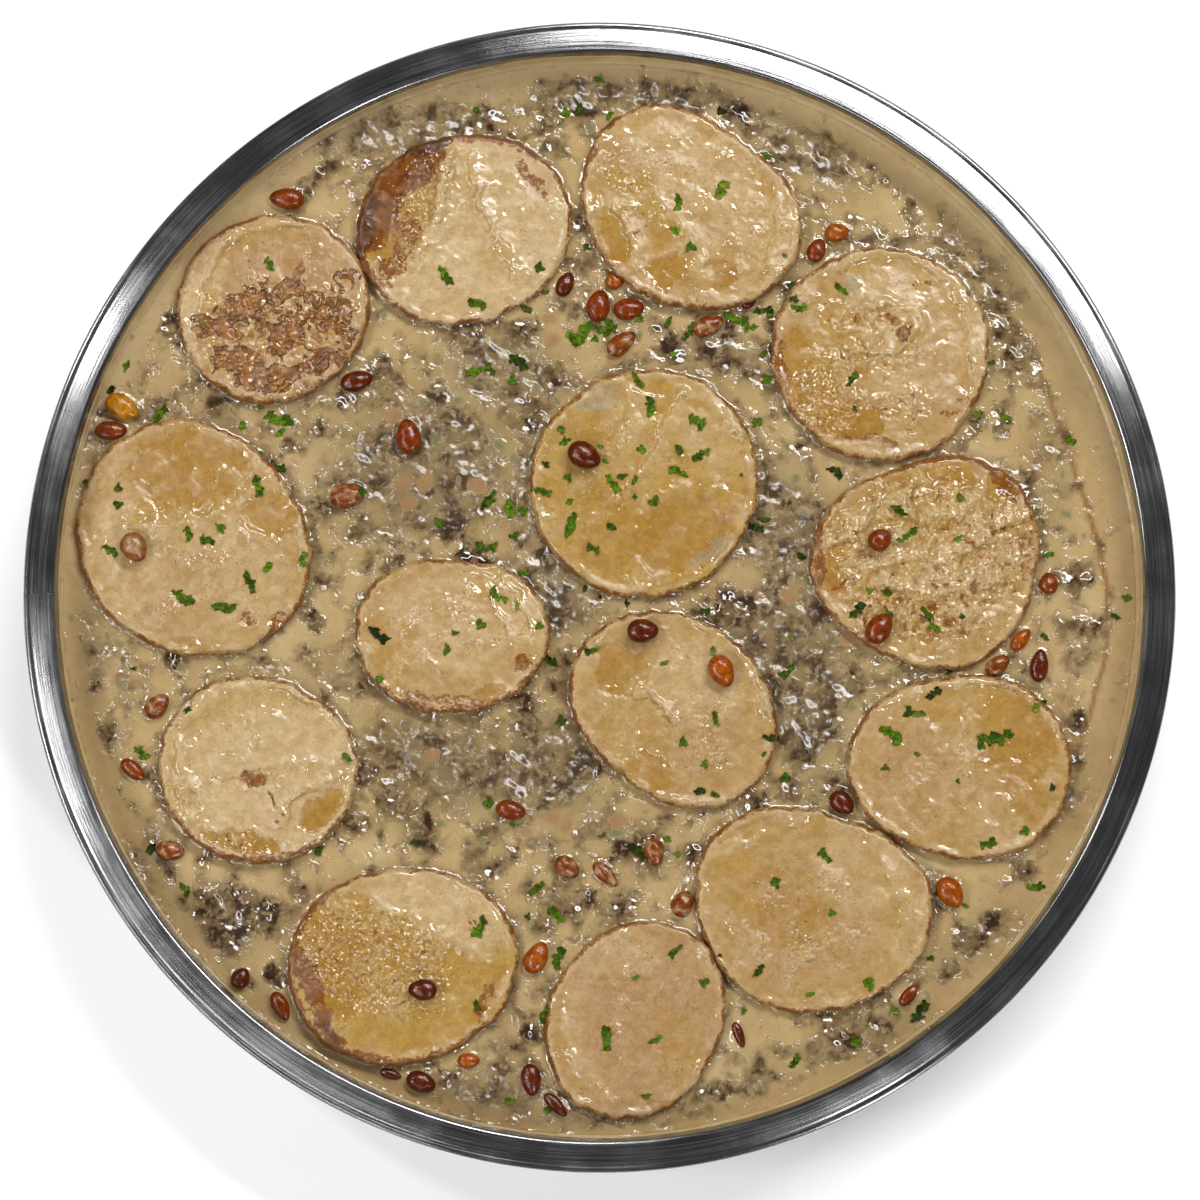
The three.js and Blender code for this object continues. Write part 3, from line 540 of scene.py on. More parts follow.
def closed_below(x, y, z, triangles, floor):
    """The surface with its borders carried down to z = floor and closed there, and each point's source.

    Copies of the border's points come last.
    """
    loops = border_loops(triangles)
    vertices = np.column_stack([x, y, z])
    faces = triangles.tolist()
    below, start = [], len(vertices)
    lower_loops = []
    for loop in loops:
        lower = list(range(start, start + len(loop)))
        start += len(loop)
        lower_loops.append(lower)
        below += [(x[v], y[v], floor) for v in loop]
        for k, v in enumerate(loop):
            n = (k + 1) % len(loop)
            faces.append([loop[n], v, lower[k], lower[n]])
    flat = [v for lower in lower_loops for v in lower]
    vertices = np.concatenate([vertices, np.array(below)])
    flat_loops = [[Vector((*vertices[v][:2], 0)) for v in lower] for lower in lower_loops]
    bottom = tessellate_polygon(flat_loops)
    for a, b, c in bottom:
        p, q, r = vertices[flat[a]], vertices[flat[b]], vertices[flat[c]]
        turn = (q[0] - p[0]) * (r[1] - p[1]) - (q[1] - p[1]) * (r[0] - p[0])
        faces.append([flat[a], flat[c], flat[b]] if turn > 0 else [flat[a], flat[b], flat[c]])
    source = np.concatenate([np.arange(len(x)), [v for loop in loops for v in loop]]).astype(int)
    return vertices, faces, source


# Materials
class Shading:
    """A procedural material under construction."""

    def __init__(self, name):
        self.material = bpy.data.materials.new(name)
        self.material.use_nodes = True
        self.nodes = self.material.node_tree.nodes
        self.shader = self.nodes["Principled BSDF"]
        self.place = self.nodes.new("ShaderNodeTexCoord").outputs["Object"]

    def feed(self, socket, source):
        """Connects a node's output, or sets a constant or a colour."""
        if isinstance(source, bpy.types.NodeSocket):
            self.material.node_tree.links.new(source, socket)
        elif isinstance(source, np.ndarray):
            socket.default_value = (*map(float, source), 1)
        else:
            socket.default_value = source

    def field(self, name, output="Fac"):
        node = self.nodes.new("ShaderNodeAttribute")
        node.attribute_name = name
        return node.outputs[output]

    def noise(self, size, detail=2.0, roughness=0.5, bend=0.0, place=None):
        """Noise of 0 to 1 with features of this many millimetres."""
        node = self.nodes.new("ShaderNodeTexNoise")
        node.inputs["Scale"].default_value = 1 / (size * MM)
        node.inputs["Detail"].default_value = detail
        node.inputs["Roughness"].default_value = roughness
        node.inputs["Distortion"].default_value = bend
        self.feed(node.inputs["Vector"], place or self.place)
        return node.outputs["Fac"]

    def dots(self, size, small, share):
        """1 in dots of this radius, as a share of the spacing, in this share of the cells."""
        cells = self.nodes.new("ShaderNodeTexVoronoi")
        cells.inputs["Scale"].default_value = 1 / (size * MM)
        self.feed(cells.inputs["Vector"], self.place)
        parts = self.nodes.new("ShaderNodeSeparateColor")
        self.feed(parts.inputs["Color"], cells.outputs["Color"])
        chosen = self.maths("LESS_THAN", parts.outputs["Red"], share)
        return self.times(self.ranged(cells.outputs["Distance"], small * 0.6, small * 1.2, 1, 0), chosen)

    def maths(self, operation, first, second):
        node = self.nodes.new("ShaderNodeMath")
        node.operation = operation
        self.feed(node.inputs[0], first)
        self.feed(node.inputs[1], second)
        return node.outputs[0]

    def times(self, first, second):
        return self.maths("MULTIPLY", first, second)

    def plus(self, first, second):
        return self.maths("ADD", first, second)

    def minus(self, first, second):
        return self.maths("SUBTRACT", first, second)

    def ranged(self, source, low, high, to_low=0.0, to_high=1.0):
        """to_low to to_high as the source goes from low to high."""
        node = self.nodes.new("ShaderNodeMapRange")
        node.interpolation_type = "SMOOTHSTEP"
        for socket, value in zip(("From Min", "From Max", "To Min", "To Max"), (low, high, to_low, to_high)):
            self.feed(node.inputs[socket], value)
        self.feed(node.inputs["Value"], source)
        return node.outputs["Result"]

    def blend(self, colour, other, share):
        node = self.nodes.new("ShaderNodeMix")
        node.data_type = "RGBA"
        self.feed(node.inputs["Factor"], share)
        for socket, value in (("A", colour), ("B", other)):
            self.feed(node.inputs[socket], value)
        return node.outputs["Result"]

    def toned(self, colour, source, spread, low=0.3, high=0.7):
        """The colour times 1 - spread to 1 + spread in each channel as the source goes from low to high."""
        tone = self.nodes.new("ShaderNodeCombineColor")
        for channel, depth in zip(("Red", "Green", "Blue"), spread):
            self.feed(tone.inputs[channel], self.ranged(source, low, high, 1 - depth, 1 + depth))
        node = self.nodes.new("ShaderNodeMix")
        node.data_type, node.blend_type = "RGBA", "MULTIPLY"
        node.inputs["Factor"].default_value = 1
        self.feed(node.inputs["A"], colour)
        self.feed(node.inputs["B"], tone.outputs["Color"])
        return node.outputs["Result"]

    def bumps(self, height, deep):
        """Fine relief of this many millimetres."""
        node = self.nodes.new("ShaderNodeBump")
        node.inputs["Strength"].default_value = 1
        node.inputs["Distance"].default_value = deep * MM
        self.feed(node.inputs["Height"], height)
        self.feed(self.shader.inputs["Normal"], node.outputs["Normal"])

    def finish(self, colour, roughness, **values):
        self.feed(self.shader.inputs["Base Color"], colour)
        self.feed(self.shader.inputs["Roughness"], roughness)
        for key, value in values.items():
            self.shader.inputs[key.replace("_", " ")].default_value = value
        return self.material


def potato_look():
    """Fried potato with browning where fried is high, crumbs where grain is, and torn cream over hollows."""
    m = Shading("fried_potato")
    grain, fried = m.field("grain"), m.field("fried")
    cloudy, crumbs, dust = m.noise(2.8, 4, 0.6), m.noise(1.0, 2, 0.6), m.noise(0.5, 1)
    coat = m.toned(m.field("tint", "Color"), cloudy, (0.08, 0.11, 0.15), 0.35, 0.65)
    coat = m.toned(coat, dust, (0.035, 0.045, 0.06))
    grainy = m.toned(m.toned(coat, crumbs, (0.11, 0.15, 0.22), 0.36, 0.64), dust, (0.05, 0.07, 0.09))
    colour = m.blend(coat, grainy, m.ranged(grain, 0.3, 1, 0.26, 1))
    ragged = m.plus(fried, m.ranged(crumbs, 0.3, 0.7, -0.2, 0.2))
    ragged = m.plus(ragged, m.ranged(cloudy, 0.3, 0.7, -0.2, 0.2))
    crust = m.blend(BROWN, DARK_BROWN, m.ranged(ragged, 0.8, 1.25))
    colour = m.blend(colour, m.toned(crust, crumbs, (0.2, 0.24, 0.3)), m.ranged(ragged, 0.4, 0.66, 0, 0.93))
    pores = m.times(m.dots(1.5, 0.22, 0.25), m.ranged(grain, 0, 1, 0.3, 0.8))
    colour = m.blend(colour, BROWN, pores)
    torn = m.minus(m.noise(4.4, 3, 0.5, 0.9), m.ranged(m.field("torn"), 0, 1, 0.8, 0.36))
    hollow = m.ranged(torn, 0, 0.03)
    below = m.toned(HOLLOW, cloudy, (0.4, 0.45, 0.5), 0.35, 0.65)
    colour = m.blend(colour, below, m.times(hollow, 0.95))
    lip = m.times(m.ranged(torn, -0.015, 0.012), m.ranged(torn, 0.015, 0.085, 0.7, 0))
    colour = m.blend(colour, DARK_BROWN, lip)
    height = m.times(m.noise(2, 1), m.ranged(grain, 0.3, 1, 0.2, 2.2))
    dimples = m.times(m.noise(2.3, 1), m.ranged(m.noise(12, 1), 0.42, 0.6, 0, 1.2))
    dimples = m.times(dimples, m.ranged(grain, 0.15, 0.6, 0.15, 1))
    height = m.plus(height, m.plus(dimples, m.times(m.noise(4.2, 1), 0.7)))
    height = m.minus(height, m.times(pores, 0.3))
    m.bumps(m.minus(height, m.times(m.ranged(torn, -0.02, 0.05), 0.8)), 0.6)
    wet = m.plus(m.field("wet"), m.ranged(m.noise(7, 2), 0.38, 0.62, -0.45, 0.3))
    wet = m.minus(wet, m.times(fried, 0.3))
    return m.finish(colour, m.ranged(wet, 0.25, 0.85, 0.4, 0.08), Subsurface_Weight=0.1,
                    Subsurface_Scale=0.001)


def sauce_look():
    """Sauce that lets the meat show where the field murk is high."""
    m = Shading("tahini_sauce")
    murk, veil = m.field("murk"), m.field("veil")
    broad, lumps, crumbs = m.noise(8, 2), m.noise(3.6, 3, 0.5, 0.5), m.noise(1.1, 2, 0.55)
    field = m.times(m.plus(broad, lumps), 0.5)
    field = m.plus(field, m.ranged(murk, 0.0, 1.0, -0.12, 0.14))
    colour = m.toned(m.field("tint", "Color"), lumps, (0.05, 0.06, 0.07))
    film = m.times(m.ranged(field, 0.44, 0.66, 0, 0.85), m.ranged(veil, 0.3, 0.9, 1, 0.75))
    colour = m.blend(colour, SAUCE_FILM, film)
    torn = m.plus(field, m.ranged(crumbs, 0.3, 0.7, -0.03, 0.03))
    dark = m.times(m.ranged(torn, 0.6, 0.74, 0, 0.92), m.ranged(veil, 0.3, 0.9, 1, 0.8))
    colour = m.blend(colour, m.toned(MEAT_DARK, crumbs, (0.5, 0.5, 0.5)), dark)
    cream = m.ranged(m.noise(2.6, 2, 0.5, 0.6), 0.55, 0.63)
    cream = m.times(cream, m.ranged(field, 0.48, 0.62, 0, 0.4))
    colour = m.blend(colour, SAUCE_PALE * 0.8, cream)
    specks = m.times(m.dots(1.15, 0.2, 0.3), m.ranged(murk, 0, 0.7, 0.3, 0.7))
    colour = m.blend(colour, SPECK, specks)
    relief = m.plus(m.times(m.noise(2.2, 0), 0.7), m.times(m.noise(4.8, 0), 3))
    relief = m.minus(relief, 1.85)
    m.bumps(m.times(relief, m.ranged(field, 0.44, 0.6, 0.04, 1)), 0.66)
    soft = m.ranged(veil, 0.2, 0.9, 0.11, 0.25)
    return m.finish(colour, soft, Subsurface_Weight=0.1, Subsurface_Scale=0.001)


def meat_look():
    m = Shading("kofta_meat")
    clumps, crumbs = m.noise(2.6, 3, 0.55), m.noise(1, 2, 0.6)
    colour = m.toned(m.field("tint", "Color"), clumps, (0.4, 0.4, 0.4))
    colour = m.blend(colour, SAUCE_THIN, m.ranged(m.noise(2.3, 3, 0.55, 0.5), 0.54, 0.66, 0, 0.7))
    colour = m.blend(colour, MEAT_DARK, m.times(m.dots(1.5, 0.3, 0.3), 0.6))
    m.bumps(m.plus(m.noise(1.8, 0), m.times(m.noise(3.4, 0), 2)), 0.55)
    return m.finish(colour, m.ranged(crumbs, 0.3, 0.7, 0.08, 0.24))


def nut_look():
    m = Shading("roasted_pine_nut")
    mottle = m.noise(1.6, 3)
    m.bumps(mottle, 0.22)
    return m.finish(m.toned(m.field("tint", "Color"), mottle, (0.3, 0.4, 0.5)), 0.22, Specular_IOR_Level=0.35)


def leaf_look():
    m = Shading("chopped_parsley")
    mottle = m.noise(0.8, 3)
    m.bumps(mottle, 0.2)
    return m.finish(m.toned(m.field("tint", "Color"), mottle, (0.5, 0.45, 0.5)), 0.45, Specular_IOR_Level=0.1)


BRUSHING_STRETCH = 0.0016  # metres of brushing noise for each radian round the tray


def steel_look():
    """Steel brushed in circles about the tray's axis."""
    m = Shading("brushed_steel")
    parts = m.nodes.new("ShaderNodeSeparateXYZ")
    m.feed(parts.inputs[0], m.place)
    x, y = parts.outputs["X"], parts.outputs["Y"]
    radius = m.maths("POWER", m.plus(m.maths("POWER", x, 2), m.maths("POWER", y, 2)), 0.5)
    turned = m.nodes.new("ShaderNodeCombineXYZ")
    m.feed(turned.inputs["X"], radius)
    m.feed(turned.inputs["Y"], m.times(m.maths("ARCTAN2", y, x), BRUSHING_STRETCH))
    m.feed(turned.inputs["Z"], parts.outputs["Z"])
    brushing = m.noise(0.3, 3, place=turned.outputs[0])
    worn = m.noise(14, 3)
    colour = m.blend((0.18, 0.18, 0.185, 1), (0.31, 0.31, 0.315, 1), m.ranged(brushing, 0.35, 0.65))
    colour = m.blend(colour, (0.7, 0.7, 0.71, 1), m.times(m.dots(1.4, 0.1, 0.5), 0.5))
    m.bumps(brushing, 0.03)
    tangent = m.nodes.new("ShaderNodeTangent")
    tangent.direction_type, tangent.axis = "RADIAL", "Z"
    m.feed(m.shader.inputs["Tangent"], tangent.outputs["Tangent"])
    rough = m.plus(m.ranged(brushing, 0.3, 0.7, 0.16, 0.25), m.ranged(worn, 0.35, 0.7, -0.02, 0.08))
    return m.finish(colour, rough, Metallic=1, Anisotropic=0.8, Anisotropic_Rotation=0.25)


potato_material, sauce_material, meat_material = potato_look(), sauce_look(), meat_look()
nut_material, leaf_material, steel_material = nut_look(), leaf_look(), steel_look()


# Tray
def arc(cx, cz, radius, start, end, steps):
    angles = np.radians(np.linspace(start, end, steps + 1))
    return [(cx + radius * math.cos(a), cz + radius * math.sin(a)) for a in angles]


def tray_profile():
    """Radius and height of each ring, from the underside by the rolled flange to the floor."""
    t = TRAY
    radius, height, sheet, fold, corner = t["radius"], t["height"], t["sheet"], t["fold"], t["corner"]
    hem = t["hem"] / 2
    inner = radius - t["flange"]
    corner_x = wall_radius(corner) - corner + sheet
    low = height - t["fall"]
    return (
        [(r, 0) for r in np.linspace(8, corner_x - 6, 12)]
        + arc(corner_x, corner, corner, -90, 0, 10)
        + [(wall_radius(z) + sheet, z) for z in np.linspace(12, height - fold - 1.6, 8)]
        + arc(inner + 1.6, height - sheet - 1.4, 1.4, 180, 90, 5)
        + [(radius - t["hem_width"], low - sheet + 0.25), (radius - t["hem_width"], low - 2 * hem)]
        + arc(radius - hem, low - hem, hem, -90, 90, 12)
        + [(radius - 1.75, low - 0.02), (radius - 2.1, low - 0.16), (radius - 2.45, low + 0.05)]
        + [(r, height - t["fall"] * ((r - inner) / (t["flange"] - 2.4)) ** 1.3)
           for r in np.linspace(radius - 3, inner + 1.0, 8)]
        + arc(inner, height - fold, fold, 78, 180, 8)
        + [(wall_radius(z), z) for z in np.linspace(height - fold - 1, corner + 1, 16)]
        + arc(corner_x, corner, corner - sheet, 0, -90, 10)
        + [(r, sheet) for r in np.linspace(corner_x - 6, 8, 12)]
    )


def build_tray():
    profile = np.array(tray_profile())
    count = TRAY["segments"]
    angles = full_turn(count)
    rings = np.stack([np.column_stack([r * np.cos(angles), r * np.sin(angles), np.full(count, z)])
                      for r, z in profile])
    vertices = np.concatenate([rings.reshape(-1, 3), [(0, 0, 0), (0, 0, TRAY["sheet"])]])
    faces = rings_to_faces(len(profile), count)
    return piece("steel_tray", vertices, faces, "steel", steel_material, ["tray"])


# Meat
def build_meat():
    def level(x, y):
        shown = (slice_distance(x, y) > -0.8) & (meat_rise(x, y) > 0.6)
        return np.where(shown, 2, np.where(kofta_inward(x, y) < 4, 1, 0))

    x, y = adaptive_points(KOFTA["pitch"], KOFTA["radius"] + 4, lambda a, b: kofta_inward(a, b) > 0.4, level)
    count = KOFTA["rim_points"]
    x, y = with_rim(x, y, kofta_edge(full_turn(count)), count)
    x, y, triangles = triangulated(x, y, count, lambda a, b: np.full(len(a), True))
    z = meat_height(x, y, meat_rise(x, y))
    for s in SLICES:
        under = slice_inward(s, x, y) > -2 * GAP
        z[under] = np.minimum(z[under], slice_top(s, x[under], y[under]) - SLICE_THICKNESS - GAP)
    relief = meat_relief(x, y)[1] + 0.3 * noise(x, y, 1.4, 51)
    # Painted light and shade: the meat is lighter on its high relief and darker in the hollows between.
    colour = coated(MEAT_DARK, (MEAT_LIT_CREST, smooth(0.2, 1.2, relief)),
                    (SAUCE_THIN, 0.45 * smooth(0.1, 0.8, noise(x, y, 2.2, 52))))
    vertices, faces, source = closed_below(x, y, z, triangles, TRAY["sheet"] + GAP)
    return piece("kofta_meat", vertices, faces, "kofta", meat_material, ["kofta"], tint=colour[source])


# Sauce
def sunken_shares(x, y):
    """How much of a sunken nut and of a sunken flake shows at each point, 0 to 1."""
    nut, leaf = np.zeros(len(x)), np.zeros(len(x))
    for cx, cy, length, width, heading in SUNKEN_NUTS:
        near = np.hypot(x - cx, y - cy) < length
        q = ellipse(x[near], y[near], cx, cy, length / 2, width / 2, heading)
        nut[near] = np.maximum(nut[near], 1 - smooth(0.7, 1.1, q))
    for number, (cx, cy, size) in enumerate(f[:3] for f in SUNKEN_FLAKES):
        near = np.hypot(x - cx, y - cy) < size
        q = ellipse(x[near], y[near], cx, cy, size / 2, 0.3 * size, 67 * number)
        q = q + 0.35 * noise(x[near], y[near], 1.6, 61)
        leaf[near] = np.maximum(leaf[near], 1 - smooth(0.5, 1.15, q))
    return nut, leaf


def sauce_colour(x, y, z, rise, thin):
    radius, beyond = np.hypot(x, y), -kofta_inward(x, y)
    ridge = np.exp(-((beyond + 0.3) / 0.8) ** 2) * smooth(0.75, 0.45, np.abs(np.arctan2(y, x) - 0.1))
    depth = np.maximum(z - meat_height(x, y, rise), 0)
    nut, leaf = sunken_shares(x, y)
    # Painted light: the sauce is brightened near the wall towards +Y, against the shade that the wall casts
    # there.
    painted_light_by_wall = smooth(11, 1, wall_radius(LEVEL) - radius) * smooth(-0.3, 0.6, y / radius)
    return coated(
        SAUCE,
        (SAUCE_PALE, 0.45 * smooth(-0.1, 0.9, noise(x, y, 26, 71))),
        (SAUCE_EDGE, 0.35 * smooth(0, 1, noise(x, y, 18, 72))),
        (SAUCE_EDGE, 0.3 * smooth(-1, 4, beyond)),
        (BROWN, 0.8 * ridge),
        (SAUCE_THIN, 0.9 * np.maximum(thin, smooth(0.35, 1, rise))),
        (SAUCE_FILM, np.exp(-depth / 0.42)),
        (SUNKEN_NUT, 0.75 * nut),
        (SUNKEN_LEAF, 0.75 * leaf),
        (1.4 * SAUCE_PALE, 0.5 * painted_light_by_wall),
        # Painted shade: the sauce is darkened in a narrow band round each slice.
        (0.75 * SAUCE_EDGE, 0.6 * np.exp(-np.maximum(slice_distance(x, y), 0) / 0.7)),
    )


def build_sauce():
    def level(x, y):
        gap = slice_distance(x, y)
        nut = nut_distance(x, y, SAUCE_NUTS)
        fine = (gap < 2) | (np.abs(nut) < 1.4)
        middle = (meat_rise(x, y) > 0.1) | (gap < 4) | (np.hypot(x, y) > 156)
        return np.where(fine, 2, np.where(middle, 1, 0))

    def inside(x, y):
        return (np.hypot(x, y) < wall_radius(LEVEL) - 0.5) & (slice_distance(x, y) > -1.5)

    x, y = adaptive_points(SAUCE_PITCH, 160, inside, level)
    x, y = with_rim(x, y, wall_radius(LEVEL + 0.8) - 0.06, SAUCE_RIM_POINTS)
    x, y, triangles = triangulated(x, y, SAUCE_RIM_POINTS, lambda a, b: slice_distance(a, b) > -1.4)
    rise, thin = meat_rise(x, y), thin_share(x, y)
    z = sauce_height(x, y, rise)
    colour = sauce_colour(x, y, z, rise, thin)
    murk = np.maximum(rise, thin) * (1 - np.maximum(*sunken_shares(x, y)))
    vertices, faces, source = closed_below(x, y, z, triangles, SAUCE_FOOT)
    return piece("tahini_sauce", vertices, faces, "sauce", sauce_material, ["sauce"],
                 tint=colour[source], murk=murk[source], veil=thin[source])


def build_wall_film():
    """Sauce left on the wall above the surface, highest towards +Y."""
    count, rows = 720, 9
    a = full_turn(count)
    back = smooth(-0.75, 0.3, np.sin(a + 0.35))
    top = 34.2 + 6.6 * back + 1.1 * noise(a * 20, a * 0, 3, 81) + 0.6 * noise(a * 60, a * 0, 3, 82)
    top = np.minimum(top, TRAY["height"] - 1.8)
    share = np.linspace(0, 1, rows)[:, None]
    z = LEVEL - 0.4 + (top - LEVEL + 0.4) * share
    thick = (0.34 + 0.14 * noise(a * 30 + 0 * z, z * 1.2, 3, 83)) * (1 - share ** 6) + 0.03
    outer = wall_radius(z) - 0.02
    front = outer - thick
    rings = [np.column_stack([front[k] * np.cos(a), front[k] * np.sin(a), z[k]]) for k in range(rows)]
    rings += [np.column_stack([outer[k] * np.cos(a), outer[k] * np.sin(a), z[k]]) for k in (rows - 1, 0)]
    vertices = np.concatenate(rings)
    faces = [f[::-1] for f in rings_to_faces(len(rings), count, False)]
    i = np.arange(count)
    j = (i + 1) % count
    last = (len(rings) - 1) * count
    faces += np.column_stack([last + i, i, j, last + j])[:, ::-1].tolist()
    dry = np.tile(np.linspace(0, 1, rows), (count, 1)).T.ravel()
    dry = np.concatenate([dry, np.ones(count), np.zeros(count)])
    x, y = vertices[:, 0], vertices[:, 1]
    dried = smooth(0.3, 1, dry + 0.3 * noise(x, y, 7, 84))
    # Both tones are brightened beyond the sauce's own colour, 1.45 and 1.2 times, as painted light against the
    # shade on the wall.
    colour = mixed(1.45 * SAUCE_PALE, 1.2 * SAUCE, dried)
    return piece("sauce_on_wall", vertices, faces, "sauce", sauce_material,
                 tint=colour, murk=np.zeros(len(x)), veil=np.zeros(len(x)))


# Potato slices
def forms(text):
    """Forms divided by commas, each a kind and its numbers."""
    words = (form.split() for form in text.split(","))
    return [(kind, *map(float, numbers)) for kind, *numbers in words]


# What shows on each slice: kind, x, y, reach along and across the heading, heading, amount.
FEATURES = [forms(text) for text in ("""
cream -118 90 5 18 -20 1, pink -96 101 20 12 0 0.8, pores -97 102 21 12 0 0.3, crag -96 77 27 19 5 1.1,
torn -96 77 27 19 5 1.15, island -107 87 7 3.4 10 1, island -76 94.5 5.6 4 20 1, island -83 85.5 4 6 20 1,
island -93 78.5 5 5 0 1, island -108 70.5 8 3.2 -12 1, island -98 65 8 4.6 0 1,
island -119 81.5 5.4 4 -30 1, island -93 91 6 3 30 0.9, island -75.5 86 2.6 5 10 1,
island -112 79.5 4 3 0 0.9, brown -82 70 6 4 30 0.9, brown -100 94 3 1.6 60 0.8, brown -90 97 1.4 4 0 0.8,
brown -104 99 2.4 1.2 70 0.7""", """
amber -61 116 13 21 -25 1, brown -66 117 8 17 -18 1.2, brown -56 128 12 7 32 1.2, dark -53 134 11 2.8 20 1,
dark -69.5 110 2.8 13 -8 1, grain -52 120 8 17 -20 0.9, brown -58 106 5 9 -20 0.8,
cream -36 109 17 23 0 0.8, cream -54 99 9 6 30 0.6, pit -62 98 4.4 3.6 0 0.9, brown -64 94 4 2.6 0 0.8,
brown -20 124 8 2.4 -50 0.8""", """
cream 26 128 22 12 -30 0.7, gold 10 112 12 16 15 0.8, amber 3.7 105.6 5 8.5 25 1,
amber 20.3 96.6 7 4.4 28 0.95, amber 35 95 7 5.4 10 0.85, brown 29 87 6 2 -10 0.6,
brown 11.6 111 5 6 30 0.5, brown -2 132.5 1.6 3.4 -25 0.9, brown 35 141.5 6 1.6 -28 0.8,
grain 8.5 127 10 8 20 0.6, pores 32 125 20 14 -30 0.5, pores 48 106 11 13 30 0.9,
cream 45 112 8 10 30 0.5""", """
cream 96 80 22 26 20 0.8, pink 104 72 14 20 0 0.6, amber 62 64 9 17 18 0.9, amber 75 52 11 7 -14 0.95,
gold 72 74 10 12 0 0.8, crag 83 76 13 13 0 0.9, pit 90.5 78 1.9 3.6 -25 1, pit 86.5 82.5 3 1.3 -20 0.9,
pit 80 73 1.2 3.4 20 0.8, pit 73 71 1.1 3.8 25 0.7, brown 95 93 8 1.8 -10 0.55, brown 106 56 6 2 35 0.6,
brown 53.8 67 2.4 13 4 0.75, brown 80 46.5 11 2.2 -8 0.75, specks 91 56 10 7 15 1, specks 70 84 7 4 0 0.8,
grey 75.3 93.5 4 2.4 0 0.8, grain 66 58 13 14 0 0.9""", """
gold 10 40 30 26 0 0.5, amber 24 18 15 12 25 0.75, amber 3 20 12 14 0 0.45, grey 0 59 8 4.5 20 0.8,
cream 33 47 11 9 -30 0.7, grey 33 13 9 2.2 35 0.7, nut 37.2 23.2 3.2 2.2 30 0.9, pores 8 38 20 14 0 0.5,
cream 8 55 8 8 0 0.4""", """
gold 92 24 22 14 0 0.5, crag 97 10 31 29 0 1.1, cream 96 8 15 7 0 0.5, cream 112 1 11 7 15 0.5,
amber 83 33 13 4.4 32 0.9, amber 104 38 9 6 -20 1, amber 118 33 10 4.6 -46 1, brown 121 32 7 2.6 -50 1,
brown 110 42 9 1.6 -24 0.8, amber 67 23 5 8 10 0.9, amber 70 8 4 11 -8 0.95, brown 65 13 1.8 12 2 0.9,
brown 72 3 7 1.6 30 0.7, specks 91 -6 18 7 0 1, specks 120 16 9 15 0 1, specks 72 19 6 4 0 0.9,
brown 127 12 3 9 0 0.6, grain 112 12 14 16 0 0.5""", """
amber -122 37.5 18 13 5 0.75, amber -97.5 24 9 8 -20 0.7, cream -112 4 22 18 0 0.55,
pink -125 2 16 14 0 0.6, pit -104.5 -6.5 2.6 2 0 0.8, pit -96 -7 2.8 2 20 0.8, brown -93 36 8 2 -48 0.6,
amber -122 -14.5 6.5 2.6 -10 0.8, cream -140 14 10 18 10 0.6, pores -120 4 20 10 0 0.8""", """
cream -40 -8 24 16 0 0.6, brown -46 -31 16 2.2 -4 0.8, brown -23 -20 3 3.6 20 0.9,
pores -44 -12 20 12 0 0.6, gold -62 -16 8 10 0 0.6, amber -33 -29.5 5 2.2 10 0.8""", """
amber 5 -22 10 8 -20 0.75, amber 14 -52 9 6 -20 0.8, cream 30 -26 16 14 -30 0.7, gold 8 -38 9 12 0 0.7,
pink 32 -44 12 12 0 0.7, pores 28 -40 14 14 0 0.8, cream -3.5 -19.5 3 5 -20 0.8""", """
amber 124 -42 12 15 10 0.8, gold 110 -35 14 8 0 0.7, pink 92 -52 14 18 0 0.7, amber 127 -60 6 8 20 0.6,
pores 98 -54 16 14 0 0.7, brown 120 -26 8 1.8 -28 0.6""", """
cream -102 -44 24 20 0 1, amber -82 -63.5 8.5 4.2 42 1, amber -106 -73 14 3.2 -8 1,
brown -98 -77.5 14 2 4 0.8, specks -107 -72.5 12 3 -10 1, brown -118 -29 11 1.4 38 0.6,
pit -103 -54.5 3.4 1.8 0 1, pit -111 -54 5 0.6 0 0.6, pit -97.5 -60 0.8 2.6 25 0.9,
brown -95.2 -65.5 0.7 3 0 0.9, brown -73.5 -41 1 5 8 0.8, cream -84 -72.6 4.6 1.6 -5 1,
gold -124 -60 4 9 30 0.5""", """
gold -58 -118 26 18 -8 1, amber -80 -108 10 19 15 1, brown -86 -114 4 16 22 1, brown -68 -137 16 3 -8 0.9,
grain -66 -108 24 16 -20 1.1, cream -48 -90 24 11 -24 1, amber -60 -106 16 6 -16 0.6,
dark -80 -129 7 2.4 -40 0.8, brown -34 -120 2.5 8 -20 0.8, brown -38 -98 2 5 20 0.6""", """
pink 10 -124 24 26 0 0.8, pores 10 -124 22 24 0 0.5, amber 4 -112 5 3 20 0.4, amber 18 -151 5 2.4 0 0.8,
gold 24 -134 8 12 0 0.5, cream 6 -106 14 7 0 0.5""", """
pink 60 -95 26 24 0 0.5, amber 45 -69 12 3.4 10 0.9, amber 56 -92 16 13 -20 0.5, brown 56 -95 9 5 -20 0.35,
pores 60 -98 22 18 0 0.9, cream 76 -84 14 12 -30 0.5, gold 40 -84 8 12 10 0.6""")]
